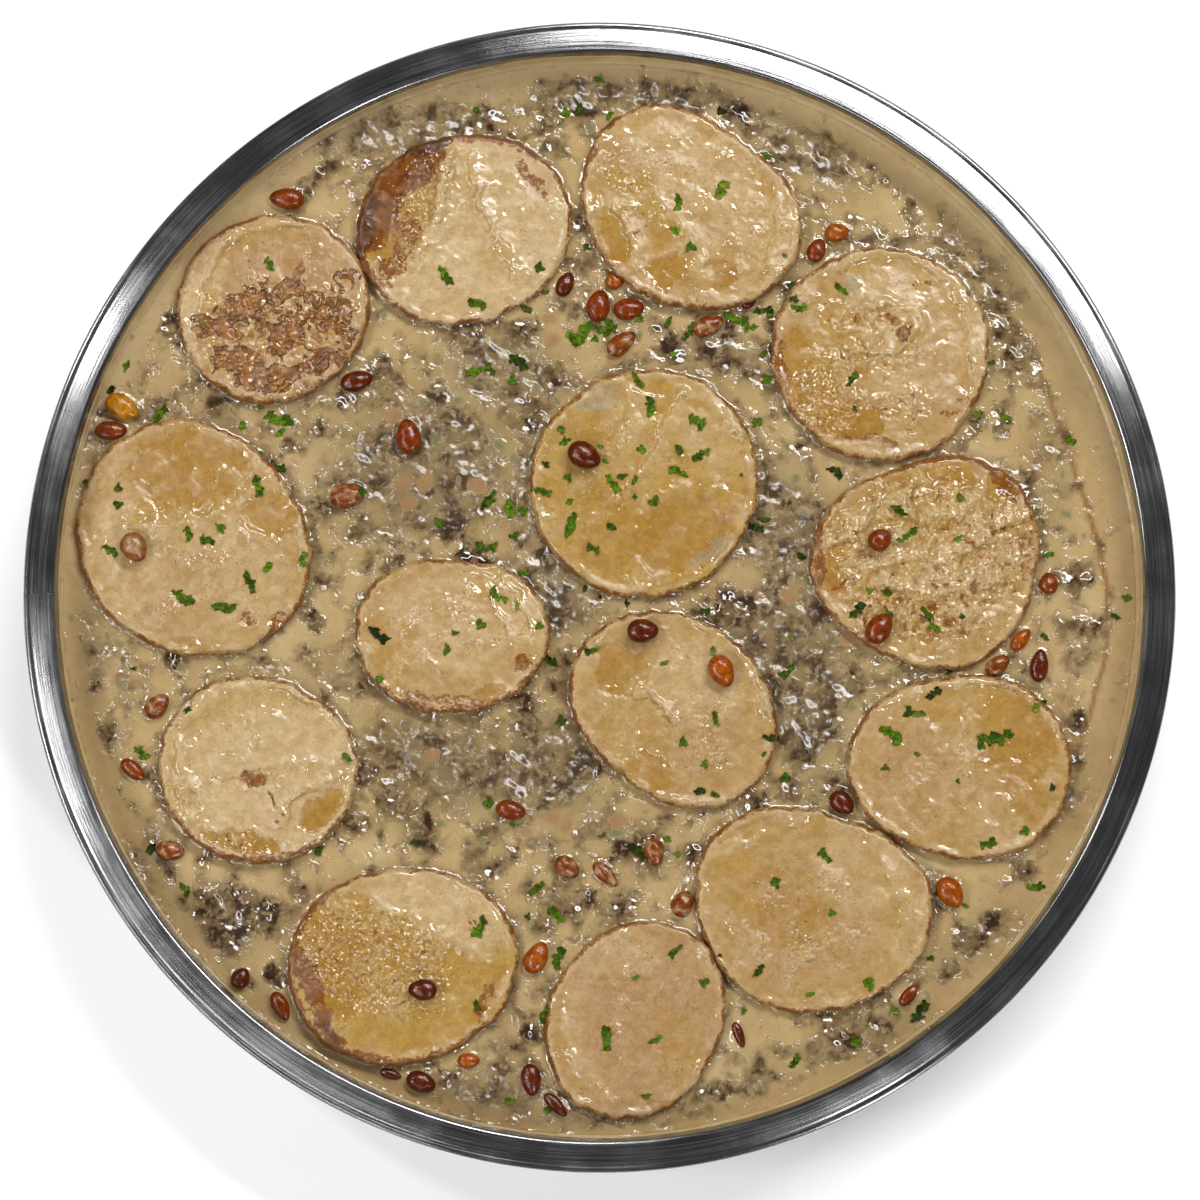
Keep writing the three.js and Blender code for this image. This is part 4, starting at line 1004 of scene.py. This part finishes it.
# Raised beads of cream on the slices: slice, width, height, and x and y of each point.
BEADS = [(owner, width, tall, table(2, points)) for owner, width, tall, points in (
    (0, 1.3, 0.7, "-118 84  -118 91  -115 100  -110 107  -100 110.5  -90 111"),
    (1, 1.6, 0.8, "-39 131  -36 118  -32 108  -27 98"), (1, 2, 0.7, "-45 132  -50 114  -53 104"),
    (1, 1.2, 0.5, "-55 103  -60 101  -66 99"), (2, 1.6, 0.6, "52 118  54 108  50 98"),
    (2, 1.1, 0.6, "-4 115  4.5 115.4  11 117"), (2, 1.1, 0.5, "5 114  10 106  11 99"),
    (2, 1.4, 0.5, "17 119.5  27.8 106  29 99.8  30 90"), (3, 1.2, 0.7, "78 86  86 87.5  93 85  97 79"),
    (3, 1.6, 0.7, "72 98  82 103  95 101  106 92  111 80  112 68"),
    (3, 1.1, 0.6, "79 73  84 72  90 74  94 79"), (4, 1.3, 0.55, "24 61  21 53  16 44  13 39"),
    (4, 1.4, 0.3, "8 57  7 45"), (4, 1.4, 0.4, "24 61  33 57  41 48"),
    (5, 1.4, 0.8, "102 23.5  106.5 22.7  111 27  115 33"), (5, 1.2, 0.7, "87 26  92.4 22.7  93.3 30.5"),
    (5, 1.5, 0.8, "87 3.6  97.7 0.2  110 1  118.8 5.4"),
    (5, 1.4, 0.8, "69.5 15.8  75.7 17.5  80 23.5  83 28.7"),
    (5, 1.4, 0.8, "108 13  115 17.5  122 21.8  128 23.5"), (5, 1.3, 0.6, "76 4  83 9  92 10"),
    (6, 1.3, 0.5, "-97 36  -106 30  -115 24.5  -128 21  -141 22"), (6, 1.2, 0.4, "-98 17  -109 23"),
    (7, 1.3, 0.7, "-28 4  -22 -4  -19 -12"), (7, 1.1, 0.4, "-34 3  -30 -4  -27 -12"),
    (8, 1.2, 0.8, "11 -29  16 -31  20 -36"), (8, 1.6, 0.5, "38 -12  46 -22  49 -34"),
    (8, 1.4, 0.4, "24 -6  33 -10"), (9, 1.4, 0.4, "92 -30  104 -27  116 -27"),
    (10, 2, 0.7, "-124 -38  -112 -29  -96 -26  -84 -32"),
    (10, 1.3, 0.7, "-94.6 -68  -92 -61  -86 -57  -78 -54"), (10, 1.2, 0.6, "-125 -58  -122 -66  -112 -70"),
    (10, 1, 0.45, "-100 -52  -92 -50  -84 -50"), (10, 1.4, 0.6, "-126 -44  -124 -52  -120 -58"),
    (11, 1.8, 0.5, "-72 -88  -56 -96  -38 -106"), (12, 1.6, 0.4, "-10 -118  -11 -130  -6 -142"),
    (13, 1.4, 0.4, "38 -76  50 -70  62 -66"), (13, 1.6, 0.4, "84 -80  90 -92  88 -104"),
)]
# Fried brown along a slice's edge: slice, from heading, to heading, width, amount.
BROWN_EDGES = [
    (0, -120, -10, 2.2, 0.6), (1, 40, 215, 2.8, 1), (1, -10, 40, 1.8, 0.8), (2, 0, 360, 1.2, 0.55),
    (2, 200, 300, 2.2, 0.6), (3, 150, 250, 1.4, 0.5), (3, -60, 10, 1.5, 0.4), (4, 0, 360, 1, 0.45),
    (5, 20, 110, 2.4, 0.8), (5, 150, 230, 2, 0.7), (5, -40, 20, 1.6, 0.6), (6, 0, 90, 1.2, 0.5),
    (6, -140, -20, 1.2, 0.35), (7, 190, 340, 2.2, 0.7), (8, -60, 60, 1.2, 0.5), (8, 180, 300, 1.4, 0.5),
    (9, -20, 110, 1.6, 0.6), (10, 200, 330, 2.4, 0.8), (11, 130, 330, 2.6, 0.9), (12, 0, 360, 1, 0.4),
    (13, 80, 170, 1.8, 0.6), (13, -60, 60, 1, 0.35),
]
SLICE_BASE = [PINK, CREAM, FLESH, FLESH, GOLD, FLESH, FLESH, FLESH, FLESH, FLESH, CREAM, GOLD, PINK, FLESH]


# Forms that only lay a colour on: the colour, its share and how high it stands.
COATS = {"cream": (CREAM, 0.8, 0.3), "pink": (PINK, 0.7, 0), "gold": (GOLD, 0.8, -0.05),
         "grey": (GREY_FILM, 0.7, 0)}
# Forms that only brown the slice: how much, and how high they stand.
BROWNING = {"brown": (0.75, -0.12), "dark": (1.3, 0)}


def bead_distance(x, y, points):
    """Distance from a line through the points, and the same but negative on the line's right."""
    nearest, signed = np.full(np.shape(x), FAR), np.full(np.shape(x), FAR)
    for (ax, ay), (bx, by) in zip(points, points[1:]):
        dx, dy = bx - ax, by - ay
        t = np.clip(((x - ax) * dx + (y - ay) * dy) / (dx * dx + dy * dy), 0, 1)
        away = np.hypot(x - ax - t * dx, y - ay - t * dy)
        side = np.sign(dx * (y - ay) - dy * (x - ax))
        signed = np.where(away < nearest, away * side, signed)
        nearest = np.minimum(nearest, away)
    return nearest, signed


def slice_surface(i, x, y):
    """Height over the slice's plane, colour, wetness, browning, grain and tearing at points of slice i."""
    s, seed = SLICES[i], 200 + 20 * i
    angle, inward = np.arctan2(y - s.y, x - s.x), slice_inward(s, x, y)
    wx, wy = warped(x, y, (1.5, 6), (0.7, 2), seed)
    height = 0.45 * fbm(x, y, 14, seed + 4) + 0.22 * fbm(x, y, 5, seed + 5)
    height = height + 0.05 * noise(x, y, 1.8, seed + 6)
    colour = coated(SLICE_BASE[i], (CREAM, 0.4 * smooth(-0.3, 0.9, fbm(x, y, 13, seed + 7))),
                    (PINK, 0.35 * smooth(-0.1, 0.9, fbm(x, y, 8, seed + 8))),
                    (BROWN, 0.2 * smooth(0.1, 0.9, fbm(x, y, 7, seed + 23))))
    wet = 0.5 + 0.35 * noise(x, y, 7, seed + 9)
    fried, grain, torn = np.zeros(len(x)), 0.3 + 0.3 * noise(x, y, 9, seed + 17), np.zeros(len(x))
    rough = fbm(x, y, 2.3, seed + 10)
    fine = noise(x, y, 1.15, seed + 11)
    for kind, cx, cy, rx, ry, heading, amount in FEATURES[i]:
        q = ellipse(wx, wy, cx, cy, rx, ry, heading)
        m = amount * (1 - smooth(0.72, 1.14, q))
        if kind in COATS:
            other, share, stand = COATS[kind]
            colour = mixed(colour, other, share * m)
            height += stand * m
        elif kind in BROWNING:
            share, stand = BROWNING[kind]
            fried = np.maximum(fried, share * m)
            height += stand * m
        elif kind == "amber":
            q = q + 0.16 * rough
            m = amount * (1 - smooth(0.84, 1.02, q))
            height += 0.22 * amount * np.exp(-((q - 1.12) / 0.12) ** 2)
            shades = mixed(AMBER, GOLD, 0.4 * smooth(-0.4, 0.8, rough))
            colour = mixed(colour, shades, 0.92 * m)
            height -= 0.3 * m
            wet = wet + 0.2 * m
        elif kind == "grain":
            height += m * (0.12 * noise(x, y, 2, seed + 12) + 0.05 * fine)
            colour = mixed(colour, CREAM, 0.35 * m * smooth(0.15, 0.7, noise(x, y, 2, seed + 12)))
            fried = np.maximum(fried, m * (0.22 + 0.25 * noise(x, y, 2.6, seed + 13)))
            wet, grain = wet + 0.5 * m, grain + 0.7 * m
        elif kind == "specks":
            dent = m * smooth(0.3, 0.55, noise(x, y, 2.1, seed + 13))
            fried = np.maximum(fried, 0.72 * dent)
            height += m * 0.2 * noise(x, y, 2.1, seed + 14) - 0.35 * dent
            wet, grain = wet + 0.3 * m, grain + 0.3 * m
        elif kind == "nut":
            colour = mixed(colour, SUNKEN_NUT, 0.7 * amount * (1 - smooth(0.8, 1.05, q)))
        elif kind == "pores":
            height -= 0.1 * m * smooth(0.5, 0.8, noise(x, y, 1.5, seed + 14))
            wet, grain = wet - 0.15 * m, grain + 0.25 * m
        elif kind == "crag":
            ridged = 1 - 2 * np.abs(noise(wx, wy, 4.6, seed + 15))
            relief = 0.5 * (ridged - 0.4) + 0.35 * noise(wx, wy, 2.3, seed + 16) + 0.12 * fine
            height += 1.05 * m * relief
            fried = np.maximum(fried, 0.6 * m * smooth(-0.1, -0.5, relief))
            colour = coated(colour, (CREAM, 0.6 * m * smooth(0, 0.4, relief)),
                            (AMBER, 0.75 * m * smooth(0.1, -0.3, relief)))
            wet, grain = wet + 0.3 * m, grain + 0.3 * m
        elif kind == "torn":
            torn = np.maximum(torn, m * (0.5 + 0.3 * noise(wx, wy, 8, seed + 19)))
        elif kind == "island":
            q = q + 0.3 * rough
            torn = torn + 0.5 * amount * (1 - smooth(0.85, 1.15, q))
            height -= 0.5 * amount * (1 - smooth(0.9, 1.06, q))
        elif kind == "pit":
            fried = np.maximum(fried, 0.75 * m)
            height += 0.35 * amount * np.exp(-((q - 1.15) / 0.25) ** 2) - 0.75 * m
            wet = wet + 0.3 * m
    for owner, width, tall, points in BEADS:
        if owner == i:
            away, side = bead_distance(wx, wy, points)
            bead = np.exp(-(away / width) ** 2)
            near = np.exp(-(away / (3.5 * width)) ** 2)
            fold = smooth(-width, width, side)
            height += tall * (1.1 * bead + 1.0 * fold * near)
            colour = coated(colour, (CREAM, 0.4 * bead + 0.4 * fold * near), (GOLD, 0.5 * (1 - fold) * near))
            wet = wet + 0.3 * bead
    for owner, start, stop, width, amount in BROWN_EDGES:
        if owner == i:
            middle, half = math.radians((start + stop) / 2), math.radians((stop - start) / 2)
            turn = np.abs(np.angle(np.exp(1j * (angle - middle))))
            here = 1.0 if stop - start >= 360 else 1 - smooth(half - 0.15, half + 0.15, turn)
            band = amount * here * (1 - smooth(0.4 * width, 1.3 * width, inward + 0.8 * rough))
            fried = np.maximum(fried, 0.85 * band)
    crease = (1 - np.minimum(np.abs(noise(wx, wy, 12, seed + 21)), 1)) ** 9
    crease = crease * smooth(0, 0.5, noise(x, y, 14, seed + 22))
    height += 0.6 * crease
    colour = mixed(colour, CREAM, 0.45 * crease)
    wet = wet + 0.3 * crease
    shoulder = (0.7 + 0.5 * noise(x, y, 6, seed + 20)) * (1 - smooth(0.5, 2.3, inward + 0.4 * rough))
    fried = np.maximum(fried, 0.8 * shoulder)
    lip = np.clip(0.45 + 0.8 * noise(x, y, 7, seed + 18), 0, 1)
    lip = lip * np.exp(-((inward - 1.9 + 0.5 * rough) / 1.1) ** 2)
    height += 0.7 * lip
    colour = mixed(colour, CREAM, 0.7 * lip * (1 - smooth(0.4, 0.8, fried)))
    for n in NUTS:
        height += 0.35 * np.exp(-(np.hypot(x - n.x, y - n.y) / (0.62 * n.length)) ** 2)
    return height, colour, np.clip(wet, 0, 1), fried, np.clip(grain, 0, 1), np.clip(torn, 0, 1)


def build_slice(i):
    """A slice of rings: its upper face, rounded edge, side and underside.

    Each row is a ring's radius, its depth below the slice's plane, and 0 on top to 1 on the side.
    """
    s, count = SLICES[i], SLICE_POINTS
    angle = full_turn(count)
    outline = slice_radius(s, angle)
    edge = 1.5 + 0.6 * noise(np.cos(angle) * 12 + s.x, np.sin(angle) * 12, 4, 91)
    rows = [(share * (outline - edge), np.zeros(count), np.zeros(count))
            for share in np.linspace(0.02, 1, SLICE_RINGS)]
    for a in np.radians(np.linspace(9, 90, 10)):
        rows.append((outline - edge + edge * math.sin(a), edge * (1 - math.cos(a)),
                     np.full(count, a / (math.pi / 2))))
    bulge = 0.4 * noise(np.cos(angle) * 20, np.sin(angle) * 20 + s.y, 4, 92)
    for t in (0.2, 0.4, 0.7, 1):
        depth = edge + t * (SLICE_THICKNESS - edge - SLICE_FOOT)
        rows.append((outline + bulge * math.sin(t * math.pi), depth, np.ones(count)))
    rows += [(outline - SLICE_FOOT, np.full(count, SLICE_THICKNESS), np.ones(count))]
    r, drop, side = (np.stack([row[k] for row in rows]) for k in range(3))
    x = (s.x + r * np.cos(angle)).ravel()
    y = (s.y + r * np.sin(angle)).ravel()
    drop, side = drop.ravel(), side.ravel()
    x, y = np.append(x, [s.x, s.x]), np.append(y, [s.y, s.y])  # the two middle points
    drop, side = np.append(drop, [0, SLICE_THICKNESS]), np.append(side, [0, 1])
    height, colour, wet, fried, grain, torn = slice_surface(i, x, y)
    crown = 0.25 * (1 - (np.hypot(x - s.x, y - s.y) / s.radius) ** 2)
    z = slice_top(s, x, y) - drop + (height + crown) * (1 - smooth(0.3, 1, side))
    low = smooth(0.5, 1.0, side)
    colour = coated(colour, (SLICE_SIDE, 0.6 * low), (BROWN, 0.55 * smooth(2.2, 3.4, drop) * low))
    return piece(f"potato_slice_{i + 1:02d}", np.column_stack([x, y, z]), rings_to_faces(len(rows), count),
                 "potato", potato_material, [f"potato_{i + 1:02d}"],
                 tint=colour, wet=wet, fried=fried, grain=grain, torn=torn * (1 - low))


# Pine nuts
def placed(x, y, to_x, to_y, heading):
    """Points turned to a heading and moved."""
    return (to_x + x * math.cos(heading) - y * math.sin(heading),
            to_y + x * math.sin(heading) + y * math.cos(heading))


def build_nuts():
    around, along = 26, 20
    v = full_turn(around)
    u = -np.cos(np.linspace(0.09, math.pi - 0.09, along))
    all_vertices, all_faces, all_colours = [], [], []
    for number, n in enumerate(NUTS + TUCKED_NUTS):
        seed = 300 + number
        taper = 1 - 0.22 * smooth(-0.2, 1, u)
        ring = (1 - np.abs(u) ** 2.5) ** 0.5 * taper
        along_x = np.append((u[:, None] + 0 * v).ravel(), [-1.0, 1.0])
        across = np.append((ring[:, None] * np.cos(v)).ravel(), [0.0, 0.0])
        up = np.append((ring[:, None] * np.sin(v)).ravel(), [0.0, 0.0])
        x, y, z = along_x * n.length / 2, across * n.width / 2, up * (n.width * NUT_THICKNESS) / 2
        rough = 0.12 if n.look == "c" else 0.035
        bumps = 1 + rough * noise(x + 2 * z, y + seed * 5, 2.2, seed)
        bumps = bumps + 0.02 * noise(x * 0.25, y + z + seed, 0.8, seed + 1)
        y, z = y * bumps, z * bumps
        s = on_slice(n.x, n.y) if number < len(NUTS) else None
        px, py = placed(x, y, n.x, n.y, math.radians(n.heading))
        pz = nut_middle(n, s) + z
        colour = np.tile(NUT_COLOURS[n.look], (len(x), 1))
        colour = mixed(colour, colour * 0.5, 0.7 * smooth(0.7, 1.0, along_x) + 0.3 * smooth(0.8, 1, -along_x))
        patches = smooth(0.1, 0.8, noise(px, py, 3.2, seed + 2))
        colour = mixed(colour, np.minimum(colour * 1.7, 1), 0.5 * patches)
        coated = smooth(0.05, 0.4, noise(px, py, 2.2, seed + 3)) if n.look == "c" else 0
        pale = smooth(0.5, 1, up) * 0.5 if n.look == "p" else 0
        colour = mixed(colour, SAUCE, np.maximum(0.4 * coated, pale) + 0 * x)
        if not s:
            waterline = smooth(LEVEL + 0.7, LEVEL + 0.2, pz) * (pz < LEVEL + 0.7)
            colour = mixed(colour, SAUCE_EDGE, 0.7 * waterline)
        faces = np.array([f if len(f) == 4 else [*f, f[-1]] for f in rings_to_faces(along, around)])
        start = sum(map(len, all_vertices))
        all_faces += [list(dict.fromkeys(f)) for f in (faces + start).tolist()]
        all_vertices.append(np.column_stack([px, py, pz]))
        all_colours.append(colour)
    names = [f"pine_nut_{k + 1:02d}" for k in range(len(NUTS))]
    return piece("pine_nuts", np.concatenate(all_vertices), all_faces, "pine_nut", nut_material, names,
                 tint=np.concatenate(all_colours))


# Parsley
def surface_height(x, y):
    """Height of what shows at each point: a slice or the sauce."""
    rise = meat_rise(x, y)
    z = np.maximum(sauce_height(x, y, rise), meat_height(x, y, rise))
    for i, s in enumerate(SLICES):
        on = slice_inward(s, x, y) > 1.2
        if on.any():
            z[on] = slice_top(s, x[on], y[on]) + slice_surface(i, x[on], y[on])[0] + 0.15
    return z


def build_parsley():
    rng = np.random.default_rng(5)
    bits = []
    for x, y, size, kind in PARSLEY:
        heading = rng.uniform(0, 2 * math.pi)
        if size < 4.5:
            bits.append((x, y, size, heading, kind))
            continue
        for k in range(3):
            off = (k - 1) * 0.3 * size
            turn = heading + rng.uniform(-0.5, 0.5)
            bits.append((x + off * math.cos(turn), y + off * math.sin(turn), size * rng.uniform(0.5, 0.72),
                         heading + rng.uniform(-0.9, 0.9), kind))
    bits = [b for b in bits if math.hypot(b[0], b[1]) < wall_radius(LEVEL) - 1.5]
    around, rings = 12, 2
    a = full_turn(around)
    heights = surface_height(np.array([b[0] for b in bits]), np.array([b[1] for b in bits]))
    for n in NUTS:
        for k, b in enumerate(bits):
            q = float(nut_share(b[0], b[1], n))
            if q < 1:
                over = n.width * NUT_THICKNESS / 2 * math.sqrt(1 - q * q)
                heights[k] = max(heights[k], nut_middle(n, on_slice(n.x, n.y)) + over)
    vertices, faces, colours = [], [], []
    for k, (bx, by, size, heading, kind) in enumerate(bits):
        lobes, turn = rng.integers(2, 5), rng.uniform(0, 6.28, 3)
        outline = 0.5 * size * (0.78 + 0.22 * np.cos(lobes * a + turn[0])
                                + 0.12 * np.cos((2 * lobes + 1) * a + turn[1]))
        outline = outline * (1 + 0.12 * rng.standard_normal(around))
        slim = rng.uniform(0.55, 0.95)
        shares = np.linspace(0.34, 1, rings)[:, None]
        u = np.append((shares * outline * np.cos(a)).ravel(), 0)
        w = np.append((shares * outline * np.sin(a)).ravel(), 0) * slim
        curl, lift = rng.uniform(-0.09, 0.2), rng.uniform(0.1, 0.35)
        z = lift + curl * u ** 2 / (0.25 * size) + 0.12 * np.sin(1.9 * w + turn[2]) * size / 4
        z = np.maximum(z, FLAKE_LIFT)
        x, y = placed(u, w, bx, by, heading)
        top = np.column_stack([x, y, heights[k] + z + FLAKE_THICKNESS / 2])
        under = np.column_stack([x, y, heights[k] + z - FLAKE_THICKNESS / 2])
        start, half = len(vertices) * 2 * len(top), len(top)
        i = np.arange(around)
        j = (i + 1) % around
        for lower in (0, 1):
            base = start + lower * half
            group = np.column_stack([np.full(around, base + rings * around), base + i, base + j]).tolist()
            for r in range(rings - 1):
                near, far = base + r * around, base + (r + 1) * around
                group += np.column_stack([near + i, far + i, far + j, near + j]).tolist()
            faces += [f[::-1] for f in group] if lower else group
        last = start + (rings - 1) * around
        faces += np.column_stack([last + j, last + i, last + half + i, last + half + j])[:, ::-1].tolist()
        vertices.append(np.concatenate([top, under]))
        colour = LEAF_COLOURS[kind] * rng.uniform(0.5, 1.6)
        shade = np.append((0.75 + 0.5 * shares + 0 * a).ravel(), 0.8) * (1 + 0.25 * noise(x, y, 1.4, 95))
        colours.append(np.tile(np.clip(shade, 0.4, 1.8)[:, None] * colour, (2, 1)))
    return piece("parsley_flakes", np.concatenate(vertices), faces, "parsley", leaf_material,
                 tint=np.concatenate(colours))


build_tray()
build_meat()
build_sauce()
build_wall_film()
for index in range(len(SLICES)):
    build_slice(index)
build_nuts()
build_parsley()

# Floor, lights and camera
floor_material = Shading("pale_floor").finish((0.97, 0.97, 0.97, 1), 0.9)
bpy.ops.mesh.primitive_plane_add(size=6, location=(0, 0, 0))
floor = bpy.context.object
floor.name = "floor"
floor.data.materials.append(floor_material)

world = bpy.data.worlds.new("studio")
world.use_nodes = True
world.node_tree.nodes["Background"].inputs["Color"].default_value = (1, 1, 1, 1)
world.node_tree.nodes["Background"].inputs["Strength"].default_value = 0.12
bpy.context.scene.world = world


LIGHT_DISTANCE = 1.6


def softbox(name, azimuth, zenith, width, height, power):
    """An area light that faces the dish from this azimuth and angle from the vertical, in degrees."""
    data = bpy.data.lights.new(name, "AREA")
    data.shape, data.size, data.size_y, data.energy = "RECTANGLE", width, height, power
    lamp = bpy.data.objects.new(name, data)
    bpy.context.scene.collection.objects.link(lamp)
    a, z = math.radians(azimuth), math.radians(zenith)
    place = Vector((math.sin(z) * math.cos(a), math.sin(z) * math.sin(a), math.cos(z))) * LIGHT_DISTANCE
    lamp.location = place
    lamp.rotation_euler = place.to_track_quat("Z", "Y").to_euler()


softbox("key", 60, 38, 1.2, 0.24, 26)
softbox("left", 193, 42, 0.4, 0.2, 8)
softbox("left_strip", 226, 44, 1.1, 0.2, 7)
softbox("back_strip", 149, 40, 0.12, 0.3, 4.4)
softbox("low", 301, 50, 0.16, 0.4, 6.5)

CAMERA_DISTANCE = 1.5
CAMERA_AZIMUTH, CAMERA_ELEVATION = math.radians(255), math.radians(86.6)
SENSOR_WIDTH = 36
FRAME_WIDTH = 0.3535  # what the picture spans at the height of the rim
AIM = Vector((-0.0002, -0.0019, 0.045))
camera_data = bpy.data.cameras.new("camera")
camera_data.sensor_width = SENSOR_WIDTH
camera_data.lens = SENSOR_WIDTH * CAMERA_DISTANCE / FRAME_WIDTH
camera = bpy.data.objects.new("camera", camera_data)
bpy.context.scene.collection.objects.link(camera)
flat = math.cos(CAMERA_ELEVATION)
back = Vector((flat * math.cos(CAMERA_AZIMUTH), flat * math.sin(CAMERA_AZIMUTH), math.sin(CAMERA_ELEVATION)))
right = (Vector((1, 0, 0)) - back * back.x).normalized()
up = back.cross(right)
turned_to = Matrix((right, up, back)).transposed().to_4x4()
camera.matrix_world = Matrix.Translation(AIM + back * CAMERA_DISTANCE) @ turned_to
bpy.context.scene.camera = camera
bpy.context.scene.view_settings.view_transform = "Standard"
